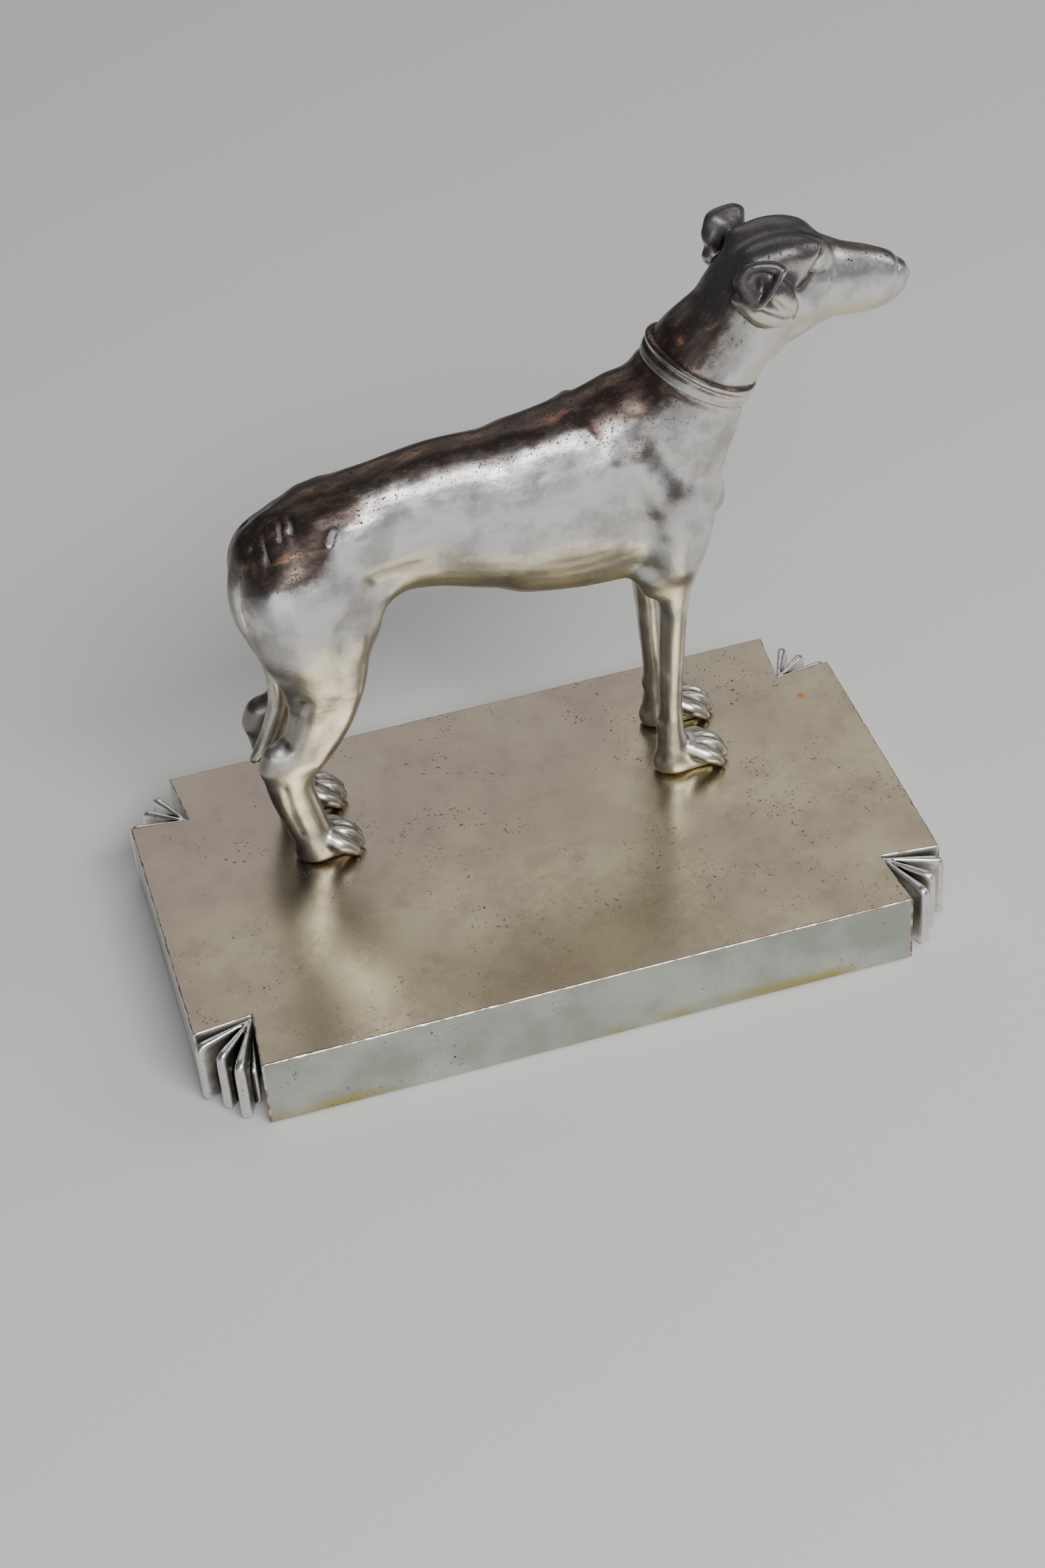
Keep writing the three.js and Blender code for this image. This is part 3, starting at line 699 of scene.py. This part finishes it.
def notch_outline(margin=0.0):
    """The base's outline, anticlockwise from above, set in by a margin."""
    x, y = HALF_LENGTH - margin, HALF_WIDTH - margin
    root_x, root_y = HALF_LENGTH - NOTCH_X - margin, HALF_WIDTH - NOTCH_Y - margin
    corner = [(x, root_y + NOTCH_LEAN), (root_x, root_y), (root_x + NOTCH_LEAN, y)]
    turned = [(-px, py) for px, py in reversed(corner)]
    half = corner + turned
    return half + [(-px, -py) for px, py in half]


def inset_loop(margin, extra=None):
    """Closely spaced points round the base, set in by a margin and by a little extra at each."""
    outer, outline = notch_outline(), notch_outline(margin)
    points, outward, fade = [], [], []
    for i, (ax, ay) in enumerate(outline):
        bx, by = outline[(i + 1) % len(outline)]
        count = round(math.dist(outer[i], outer[(i + 1) % len(outer)]) / LOOP_STEP)
        length = math.dist((ax, ay), (bx, by))
        for k in range(count):
            t = k / count
            points.append((ax + (bx - ax) * t, ay + (by - ay) * t))
            outward.append(((by - ay) / length, (ax - bx) / length))
            fade.append(min(1, min(t, 1 - t) * length / CORNER_FADE))
    points, outward = np.array(points), np.array(outward)
    if extra is not None:
        points = points - outward * (np.array(fade) * extra)[:, None]
    return points


def ripple(points, wavelength, seed):
    """Smooth uneven values from -1 to 1 along some points."""
    place = np.column_stack([points, np.full(len(points), seed * 7.3)]) / wavelength
    return np.array([noise.noise(Vector(p)) for p in place])


def base_casting(material):
    """The hollow base: upright walls with worn edges round a cavity with four screw posts."""
    points = inset_loop(0)
    wobble = 0.05 * ripple(points, 25, 3)
    uneven = 0.10 * ripple(points, 9, 1) + np.clip(ripple(points, 2.2, 2) - 0.25, 0, 1) * 0.9
    loops = [(0.35, wobble, RIM), (0.0, wobble, RIM + 0.35), (0.0, wobble, TOP - 6)]
    for turn in (0, 0.25, 0.5, 0.75, 1):
        angle = turn * math.pi / 2
        back, down = 1 - math.cos(angle), 1 - math.sin(angle)
        loops.append((EDGE_WEAR * back, wobble + uneven * back, TOP - (EDGE_WEAR + uneven) * down))
    rings = []
    for margin, extra, height in loops:
        xy = inset_loop(margin, extra)
        rings.append(np.column_stack([xy, np.zeros(len(xy)) + height]))
    shell = mesh_object("base_casting", np.vstack(rings), ring_faces(len(points), len(rings)), material)
    combine(shell, prism("cavity", notch_outline(WALL), RIM - 2, TOP - WALL), "DIFFERENCE")
    plate_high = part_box("base_plate")[1].z / MM
    for name in ("rear_right", "rear_left", "front_right", "front_left"):
        x, y, high = node_axis(f"plate_screw_{name}")
        post = prism("post", circle(x, y, POST_RADIUS, 40), plate_high + 0.3, TOP - WALL + 0.4)
        combine(shell, post, "UNION")
        hole = prism("hole", circle(x, y, SCREW_HOLE, 24), plate_high - 2, high + 0.4)
        combine(shell, hole, "DIFFERENCE")
        x, y, _ = node_axis(f"paw_stud_{name}")
        hole = prism("hole", circle(x, y, STUD_HOLE, 24), TOP - WALL - 1, TOP + 1)
        combine(shell, hole, "DIFFERENCE")
    shell.modifiers.new("even", "WEIGHTED_NORMAL").keep_sharp = True
    return assemble(shell, "worn_silver_plate", "base_shell")


def node_axis(name):
    """An upright node's x and y, and its height."""
    low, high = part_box(name)
    return (low.x + high.x) / 2 / MM, (low.y + high.y) / 2 / MM, high.z / MM


def ring_faces(count, levels):
    """Faces of a closed body of equal rings, listed from its foot to its top."""
    faces = []
    for level in range(levels - 1):
        for i in range(count):
            j = (i + 1) % count
            a, b = level * count, (level + 1) * count
            faces.append((a + i, a + j, b + j, b + i))
    faces.append(tuple((levels - 1) * count + i for i in range(count)))
    faces.append(tuple(reversed(range(count))))
    return faces


def circle(x, y, radius, count):
    angles = [2 * math.pi * i / count for i in range(count)]
    return [(x + radius * math.cos(a), y + radius * math.sin(a)) for a in angles]


def prism(name, outline, low, high):
    count = len(outline)
    vertices = [(x, y, low) for x, y in outline] + [(x, y, high) for x, y in outline]
    faces = [(i, (i + 1) % count, count + (i + 1) % count, count + i) for i in range(count)]
    faces += [tuple(reversed(range(count))), tuple(range(count, 2 * count))]
    return mesh_object(name, vertices, faces, STEEL)


def combine(piece, tool, operation):
    """Adds a tool body to a piece or cuts it away, and removes the tool."""
    modifier = piece.modifiers.new("combine", "BOOLEAN")
    modifier.operation = operation
    modifier.solver = "EXACT"
    modifier.object = tool
    depsgraph = bpy.context.evaluated_depsgraph_get()
    mesh = bpy.data.meshes.new_from_object(piece.evaluated_get(depsgraph))
    piece.modifiers.remove(modifier)
    piece.data = mesh
    bpy.data.objects.remove(tool)


def fan_field(voxel):
    """One pleated fan in its corner's own frame: x and y run outward from the notch's root."""
    field = Field((-0.6, -0.6, 0.2), (15.6, 15.6, 19), voxel)
    x = field.axes[0][:, None, None] - 0.4
    y = field.axes[1][None, :, None] - 0.4
    z = field.axes[2][None, None, :]
    body = np.full(field.values.shape, 9.0, np.float32)
    for degrees, reach in FAN_RIBS:
        angle = math.radians(degrees)
        along = x * math.cos(angle) + y * math.sin(angle)
        across = np.abs(y * math.cos(angle) - x * math.sin(angle))
        crest = TOP - 0.35 - 0.085 * along
        thick = 0.3 + 0.062 * np.clip(along, 0, 14)
        sides = across - thick - 0.05 * np.clip(crest - z, 0, 4)
        end = smooth_max(along - reach, z - crest, 2.4)
        rib = np.maximum(smooth_max(sides, end, 0.9), -along - 0.2)
        body = smooth_min(body, rib, 0.25)
    out = np.sqrt(x ** 2 + y ** 2)
    floor = np.maximum(out - 9.2, z - (TOP - 0.6 - 0.75 * out))
    spread = np.maximum(math.tan(math.radians(9)) * x - y, math.tan(math.radians(9)) * y - x)
    body = smooth_min(body, np.maximum(floor, spread), 0.3)
    field.values = np.maximum(body, 0.9 - z).astype(np.float32)
    return field


def base_fans(material):
    vertices, quads, relief = skin(fan_field(FAN_VOXEL), 1)
    for side_x, front in ((1, "front"), (-1, "rear")):
        for side_y, left in ((1, "left"), (-1, "right")):
            corner = np.array([side_x * (HALF_LENGTH - NOTCH_X), side_y * (HALF_WIDTH - NOTCH_Y), 0])
            placed = vertices * [side_x, side_y, 1] + corner
            turned = quads if side_x * side_y > 0 else quads[:, ::-1]
            fan = fast_mesh(f"pleated_fan_{front}_{left}", placed, turned, material)
            mark_relief(fan, relief)
            assemble(fan, "worn_silver_plate", f"fan_{front}_{left}")


def felt_sheet(material):
    """The felt under the base: a cut sheet with a slightly uneven edge, a little crushed."""
    low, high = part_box("felt_pad")
    margin = HALF_LENGTH - high.x / MM
    thickness = (high.z - low.z) / MM
    points = inset_loop(margin)
    fray = 0.15 + 0.12 * ripple(points, 3, 5)
    edge = inset_loop(margin, fray)
    inner = inset_loop(margin + 0.6)
    lumps = 0.08 * ripple(points, 2, 6)
    flat = np.zeros(len(points))
    rings = [np.column_stack([xy, height + flat]) for xy, height in (
        (inner, 0.02), (edge, 0.25 + lumps), (edge, thickness - 0.3 + lumps), (inner, thickness - 0.02))]
    felt = mesh_object("felt_sheet", np.vstack(rings), ring_faces(len(points), len(rings)), material)
    assemble(felt, "felt", "felt_pad")


# ---- Materials ----

class Finish:
    """A material under construction, with short calls for the nodes it uses."""

    def __init__(self, name):
        self.material = bpy.data.materials.new(name)
        self.material.use_nodes = True
        self.nodes = self.material.node_tree.nodes
        self.links = self.material.node_tree.links
        self.shader = self.nodes["Principled BSDF"]
        scaled = self.node("ShaderNodeVectorMath", operation="SCALE")
        self.links.new(self.node("ShaderNodeTexCoord").outputs["Object"], scaled.inputs[0])
        scaled.inputs["Scale"].default_value = 1 / MM
        self.place = scaled.outputs[0]
        self.normal = self.node("ShaderNodeNewGeometry").outputs["Normal"]

    def node(self, kind, **settings):
        made = self.nodes.new(kind)
        for key, value in settings.items():
            setattr(made, key, value)
        return made

    def put(self, socket, value):
        if isinstance(value, bpy.types.NodeSocket):
            self.links.new(value, socket)
        elif socket.type == "RGBA":
            socket.default_value = (*value, 1)
        else:
            socket.default_value = value

    def math(self, operation, a, b=0.0, clamp=False):
        made = self.node("ShaderNodeMath", operation=operation, use_clamp=clamp)
        self.put(made.inputs[0], a)
        self.put(made.inputs[1], b)
        return made.outputs[0]

    def times(self, a, b, clamp=False):
        return self.math("MULTIPLY", a, b, clamp)

    def inverse(self, value):
        return self.math("SUBTRACT", 1.0, value)

    def ramp(self, value, low, high):
        """0 below low, 1 above high, and smooth between them."""
        made = self.node("ShaderNodeMapRange", interpolation_type="SMOOTHSTEP")
        self.put(made.inputs["Value"], value)
        made.inputs["From Min"].default_value = low
        made.inputs["From Max"].default_value = high
        return made.outputs["Result"]

    def mix(self, share, a, b):
        made = self.node("ShaderNodeMix", data_type="RGBA")
        self.put(made.inputs["Factor"], share)
        self.put(made.inputs[6], a)
        self.put(made.inputs[7], b)
        return made.outputs[2]

    def blend(self, share, a, b):
        made = self.node("ShaderNodeMix", data_type="FLOAT")
        self.put(made.inputs[0], share)
        self.put(made.inputs[2], a)
        self.put(made.inputs[3], b)
        return made.outputs[0]

    def noise(self, size, detail=3.0, rough=0.5, stretch=(1, 1, 1), seed=0.0):
        """Noise whose features are about size millimetres across."""
        scaled = self.node("ShaderNodeVectorMath", operation="MULTIPLY_ADD")
        self.links.new(self.place, scaled.inputs[0])
        scaled.inputs[1].default_value = tuple(s / size for s in stretch)
        scaled.inputs[2].default_value = (seed, seed * 0.7, -seed)
        made = self.node("ShaderNodeTexNoise")
        self.links.new(scaled.outputs[0], made.inputs["Vector"])
        made.inputs["Scale"].default_value = 1
        made.inputs["Detail"].default_value = detail
        made.inputs["Roughness"].default_value = rough
        return made.outputs["Fac"]

    def total(self, first, *rest):
        for value in rest:
            first = self.math("ADD", first, value)
        return first

    def near(self, one, other, inside, outside):
        """1 within a distance of either of two places, fading to 0."""
        ways = []
        for centre in (one, other):
            made = self.node("ShaderNodeVectorMath", operation="DISTANCE")
            self.links.new(self.place, made.inputs[0])
            made.inputs[1].default_value = centre
            ways.append(made.outputs["Value"])
        nearest = self.math("MINIMUM", *ways)
        return self.inverse(self.ramp(nearest, inside, outside))

    def attribute(self, name):
        return self.node("ShaderNodeAttribute", attribute_name=name).outputs["Fac"]

    def split(self, vector):
        made = self.node("ShaderNodeSeparateXYZ")
        self.links.new(vector, made.inputs[0])
        return made.outputs

    def bump(self, height, distance, strength=1.0, under=None):
        made = self.node("ShaderNodeBump")
        made.inputs["Distance"].default_value = distance * MM
        made.inputs["Strength"].default_value = strength
        self.put(made.inputs["Height"], height)
        if under is not None:
            self.links.new(under, made.inputs["Normal"])
        return made.outputs["Normal"]

    def finish(self, color, metallic, roughness, normal=None):
        self.put(self.shader.inputs["Base Color"], color)
        self.put(self.shader.inputs["Metallic"], metallic)
        self.put(self.shader.inputs["Roughness"], roughness)
        if normal is not None:
            self.links.new(normal, self.shader.inputs["Normal"])
        return self.material


SILVER = (0.74, 0.73, 0.71)
CHAMPAGNE = (0.76, 0.69, 0.50)
BROWN_BLACK = (0.050, 0.036, 0.030)
BROWN = (0.15, 0.10, 0.075)
COPPER = (0.55, 0.23, 0.13)
# near black: real pits and specks, and painted shade in hollows
PIT_AND_SHADE_BLACK = (0.035, 0.032, 0.030)


def plated_casting():
    """Old silver plate: silver flanks; champagne below, partly a painted reflection of the golden base;
    dark brown patina and copper on upward faces, partly a painted dark reflection; painted shade in
    hollows and behind the hind legs.
    """
    f = Finish("worn_plate_with_painted_shade")
    facing_front, _, facing_up = f.split(f.normal)
    facing_back = f.times(facing_front, -1.0)
    ragged = f.noise(2.6, detail=6, rough=0.7)
    cloudy = f.noise(16, detail=2, seed=4)
    patchy = f.noise(8, seed=12)
    along, across, height = f.split(f.place)
    # The dark zones on the back, neck, skull, rump and ears, strongest on upward faces: real brown
    # patina with copper, partly a painted dark reflection of the room above.
    above = f.ramp(height, 84, 100)
    forward = f.total(f.times(along, 0.855), f.times(height, -0.518), 19.2)
    nape = f.inverse(f.ramp(forward, 3, 13))
    neck = f.times(f.ramp(along, 10, 42), 0.42)
    head = f.times(f.ramp(height, 128, 142), 0.12)
    neck = f.times(f.total(neck, head), nape)
    rump = f.times(f.near((-51, 20, 99), (-44, 12, 108), 5, 18), 0.95)
    ears = f.times(f.near((59, 32, 145), (59, 8, 145), 3, 7), 0.7)
    upward = f.total(facing_up, f.times(ragged, 0.34), f.times(patchy, 0.34),
                     neck, rump, ears)
    dark = f.times(f.ramp(upward, 1.03, 1.24), above, clamp=True)
    dark = f.times(dark, f.blend(f.ramp(along, 72, 82), 1.0, 0.35))
    # A softer brownish film below the dark zones: patina, partly a painted dark reflection.
    veil_and_shade = f.times(f.ramp(upward, 0.74, 1.15), above, clamp=True)
    # Painted shade on the rear faces of the hind legs and round the hock joints, between the legs and
    # the tail.
    rear_shade = f.times(f.ramp(facing_back, 0.3, 0.85), f.ramp(patchy, 0.25, 0.5))
    rear_shade = f.times(rear_shade, f.ramp(along, -20, -36))
    veil_and_shade = f.math("MAXIMUM", veil_and_shade, f.times(rear_shade, 0.9))
    hock_shade = f.near((-52, 31, 46), (-56, 14, 56), 7, 12)
    veil_and_shade = f.math("MAXIMUM", veil_and_shade, f.times(hock_shade, f.ramp(across, 17, 21)))
    # Champagne on down-facing and low surfaces: partly the plate's own tone, partly a painted reflection
    # of the golden base top.
    warm_tone_and_reflection = f.ramp(f.math("SUBTRACT", f.times(cloudy, 0.5), facing_up), 0.25, 0.85)
    low_down = f.inverse(f.ramp(height, 58, 92))
    warm_tone_and_reflection = f.math("MAXIMUM", warm_tone_and_reflection, f.times(low_down, 0.45))
    silver = f.mix(warm_tone_and_reflection, SILVER, CHAMPAGNE)
    dull = f.times(f.ramp(f.noise(9, detail=5, rough=0.6, seed=9), 0.42, 0.68), 0.65)
    silver = f.mix(dull, silver, (0.36, 0.34, 0.32))
    streaks = f.noise(2.4, detail=5, rough=0.6, stretch=(0.35, 1, 1), seed=2)
    tarnish_and_reflection = f.mix(f.ramp(streaks, 0.42, 0.75), BROWN_BLACK, BROWN)
    # On the skull the dark colour turns bluish grey: a painted reflection of the dark room.
    tarnish_and_reflection = f.mix(f.times(f.ramp(height, 130, 142), 0.75), tarnish_and_reflection, (0.105, 0.10, 0.108))
    copper = f.times(f.ramp(streaks, 0.58, 0.74), f.ramp(cloudy, 0.45, 0.6))
    tarnish_and_reflection = f.mix(f.times(copper, 0.7), tarnish_and_reflection, COPPER)
    silver = f.mix(f.times(veil_and_shade, 0.8), silver, (0.17, 0.145, 0.13))
    color = f.mix(dark, silver, tarnish_and_reflection)
    specks = f.ramp(f.noise(0.6, rough=0.6, seed=7), 0.60, 0.68)
    near_edge = f.times(f.ramp(upward, 0.74, 1.05), above)
    muzzle = f.times(f.ramp(along, 72, 80), f.ramp(facing_up, 0.35, 0.8))
    speckled = f.total(0.10, f.times(near_edge, 0.75), muzzle)
    specks = f.times(specks, speckled, clamp=True)
    # Darkened hollows are painted shade, weaker at the shoulders; in the fresh chisel cuts on the rump
    # they show bare grey metal.
    hollow = f.times(f.ramp(f.attribute("hollow"), 0.55, 1.0), f.blend(ragged, 0.35, 1.0))
    shoulders = f.near((38, 20, 101), (33, 20, 86), 16, 22)
    hollow = f.times(hollow, f.blend(shoulders, 1.0, 0.15))
    fresh = f.near((-44.5, 12, 104), (-34, 10, 104), 3.5, 6)
    color = f.mix(f.times(hollow, 0.8), color, f.mix(fresh, PIT_AND_SHADE_BLACK, (0.62, 0.59, 0.56)))
    color = f.mix(specks, color, PIT_AND_SHADE_BLACK)
    rough = f.blend(dark, f.blend(cloudy, 0.27, 0.42), 0.36)
    rough = f.total(rough, f.times(specks, 0.3))
    metallic = f.inverse(f.times(dark, 0.3))
    fine = f.bump(f.noise(0.5, detail=4, seed=5), 0.02, 0.35)
    broad = f.bump(f.noise(15, detail=1, seed=21), 2.6, 0.8, fine)
    hand = f.bump(f.noise(5, seed=6), 0.3, 0.6, broad)
    pitted = f.bump(f.inverse(specks), 0.08, 0.6, hand)
    return f.finish(color, metallic, rough, pitted)


def spot(f, x, y, radius):
    """1 at a place on the base's top, fading to 0 at a ragged edge."""
    px, py, _ = f.split(f.place)
    dx = f.math("SUBTRACT", px, x)
    dy = f.math("SUBTRACT", py, y)
    square = f.total(f.times(dx, dx), f.times(dy, dy))
    reach = f.math("SQRT", square)
    reach = f.total(reach, f.times(f.noise(1.6, detail=4, seed=x), radius * 1.4))
    return f.inverse(f.ramp(reach, radius * 0.9, radius * 1.7))


def base_metal():
    """The base: a brown olive top, greyer sides, and coppery edges worn bright in places."""
    f = Finish("base_metal")
    px, py, height = f.split(f.place)
    nx, ny, facing_up = f.split(f.normal)
    top = f.ramp(facing_up, 0.8, 0.95)
    cloudy = f.noise(32, seed=1)
    mottled = f.noise(7, detail=6, rough=0.65, seed=2)
    olive = f.mix(f.ramp(cloudy, 0.35, 0.65), (0.34, 0.29, 0.22), (0.44, 0.40, 0.28))
    olive = f.mix(f.times(f.ramp(mottled, 0.42, 0.72), 0.45), olive, (0.24, 0.20, 0.16))
    mauve = f.ramp(f.math("SUBTRACT", py, f.times(px, 0.3)), -25, 50)
    olive = f.mix(f.times(mauve, 0.6), olive, (0.29, 0.245, 0.225))
    hazy = f.ramp(f.noise(12, detail=5, seed=14), 0.35, 0.65)
    grey = f.mix(hazy, (0.40, 0.42, 0.36), (0.55, 0.56, 0.50))
    stain = f.inverse(f.ramp(height, 1, 5))
    grey = f.mix(f.times(stain, f.ramp(cloudy, 0.45, 0.6)), grey, (0.42, 0.35, 0.14))
    color = f.mix(top, grey, olive)
    chipped = f.noise(3, detail=5, rough=0.65, seed=3)
    level_edge = f.times(f.ramp(facing_up, 0.12, 0.3), f.inverse(f.ramp(facing_up, 0.94, 0.99)))
    corner = f.times(f.ramp(f.math("ABSOLUTE", nx), 0.2, 0.4), f.ramp(f.math("ABSOLUTE", ny), 0.2, 0.4))
    edge = f.math("MAXIMUM", level_edge, corner)
    color = f.mix(f.times(edge, 0.9), color, (0.42, 0.22, 0.15))
    bright = f.times(edge, f.ramp(chipped, 0.42, 0.56))
    color = f.mix(bright, color, (0.86, 0.80, 0.78))
    color = f.mix(f.times(spot(f, 74.5, 25, 1.3), 0.85), color, (0.50, 0.17, 0.03))
    color = f.mix(f.times(spot(f, -1, -14, 1.0), 0.75), color, (0.42, 0.24, 0.03))
    pits = f.ramp(f.noise(0.8, rough=0.6, seed=8), 0.63, 0.70)
    pits = f.times(pits, f.ramp(f.noise(12, seed=11), 0.48, 0.68))
    color = f.mix(f.times(pits, 0.85), color, PIT_AND_SHADE_BLACK)
    rough = f.blend(top, 0.36, f.blend(mottled, 0.20, 0.34))
    rough = f.total(rough, f.times(pits, 0.3))
    fine = f.bump(f.noise(0.35, detail=4, seed=5), 0.010, 0.4)
    wavy = f.bump(f.noise(9, detail=2, seed=16), 0.05, 0.5, fine)
    dented = f.bump(f.inverse(pits), 0.08, 0.6, wavy)
    return f.finish(color, 1.0, rough, dented)


def fan_metal():
    """The pleats: bright worn crests over dark valleys, patina and painted shade."""
    f = Finish("fan_metal")
    cloudy = f.noise(6, detail=4, seed=1)
    color = f.mix(f.ramp(cloudy, 0.35, 0.65), (0.44, 0.43, 0.42), (0.66, 0.62, 0.55))
    crest = f.times(f.ramp(f.attribute("crest"), 0.15, 0.6), f.blend(cloudy, 0.5, 1.0))
    color = f.mix(crest, color, (0.86, 0.84, 0.82))
    # dark valleys: patina and painted shade
    hollow = f.ramp(f.attribute("hollow"), 0.05, 0.45)
    color = f.mix(f.times(hollow, 0.9), color, PIT_AND_SHADE_BLACK)
    specks = f.times(f.ramp(f.noise(0.7, seed=7), 0.62, 0.7), 0.6)
    color = f.mix(specks, color, PIT_AND_SHADE_BLACK)
    rough = f.blend(cloudy, 0.22, 0.4)
    fine = f.bump(f.noise(0.5, detail=4, seed=5), 0.02, 0.4)
    return f.finish(color, 1.0, rough, f.bump(f.noise(3, seed=6), 0.12, 0.5, fine))


def dull_steel():
    f = Finish("dull_steel")
    grain = f.noise(0.6, detail=4)
    color = f.mix(f.noise(4, detail=4, seed=3), (0.36, 0.36, 0.35), (0.55, 0.54, 0.52))
    rust = f.times(f.ramp(f.noise(5, detail=6, rough=0.7, seed=8), 0.58, 0.7), 0.7)
    color = f.mix(rust, color, (0.16, 0.07, 0.03))
    rough = f.total(f.blend(grain, 0.3, 0.5), f.times(rust, 0.35))
    metallic = f.inverse(f.times(rust, 0.8))
    return f.finish(color, metallic, rough, f.bump(grain, 0.02, 0.4))


def green_felt():
    f = Finish("green_felt")
    fibres = f.noise(0.35, detail=6, rough=0.75)
    color = f.mix(fibres, (0.012, 0.03, 0.018), (0.05, 0.09, 0.06))
    worn = f.times(f.ramp(f.noise(18, detail=4, seed=3), 0.45, 0.7), 0.35)
    color = f.mix(worn, color, (0.10, 0.11, 0.07))
    f.shader.inputs["Sheen Weight"].default_value = 0.4
    return f.finish(color, 0.0, 0.95, f.bump(fibres, 0.15, 0.8))


PLATE = plated_casting()
BASE_METAL = base_metal()
FAN_METAL = fan_metal()
STEEL = dull_steel()
FELT = green_felt()

# ---- The pieces ----

cast_piece("dog_casting", sculpt_body(BODY_VOXEL), PLATE, [
    "torso_casting", "right_foreleg", "left_foreleg", "right_hind_leg", "left_hind_leg",
    "tail_casting"])
cast_piece("dog_head", sculpt_head(FINE_VOXEL), PLATE, ["head_casting"])
cast_piece("collar_casting", sculpt_collar(FINE_VOXEL), PLATE, ["collar_band"])
cast_piece("collar_loop", sculpt_collar_loop(LOOP_VOXEL), PLATE, ["collar_ring"], smoothing=0)
base_casting(BASE_METAL)
base_fans(FAN_METAL)
felt_sheet(FELT)

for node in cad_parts.values():
    if node.hide_render:
        continue
    node.data.materials.clear()
    node.data.materials.append(STEEL)
    bevel = node.modifiers.new("eased_edges", "BEVEL")
    bevel.width = 0.12 * MM
    bevel.segments = 2
    bevel.limit_method = "ANGLE"

# ---- Stage and light ----


def make_stage():
    material = Finish("pale_floor").finish((0.72, 0.71, 0.69), 0.0, 0.75)
    half = 3000
    corners = [(-half, -half, 0), (half, -half, 0), (half, half, 0), (-half, half, 0)]
    mesh_object("floor", corners, [(0, 1, 2, 3)], material)


def area_light(name, azimuth, elevation, distance, size, power, tint):
    """A softbox that faces the dog."""
    data = bpy.data.lights.new(name, "AREA")
    data.shape = "RECTANGLE"
    data.size, data.size_y = size
    data.energy = power
    data.color = tint
    aimed(name, data, LIGHT_AIM, azimuth, elevation, distance)


def make_world():
    world = bpy.data.worlds.new("studio")
    bpy.context.scene.world = world
    world.use_nodes = True
    background = world.node_tree.nodes["Background"]
    background.inputs["Color"].default_value = (0.80, 0.86, 1.0, 1)
    background.inputs["Strength"].default_value = 0.12


make_stage()
make_world()
area_light("window", 12, 44, 1.3, (0.9, 0.5), 17, (0.96, 0.98, 1))
area_light("right_fill", 85, 30, 1.5, (0.5, 0.8), 5, (1, 0.97, 0.93))
area_light("back_panel", 167, 42, 1.5, (1.6, 1.0), 5, (1, 0.95, 0.90))
area_light("low_fill", -25, 12, 1.4, (1.0, 0.4), 3, (0.96, 0.98, 1))
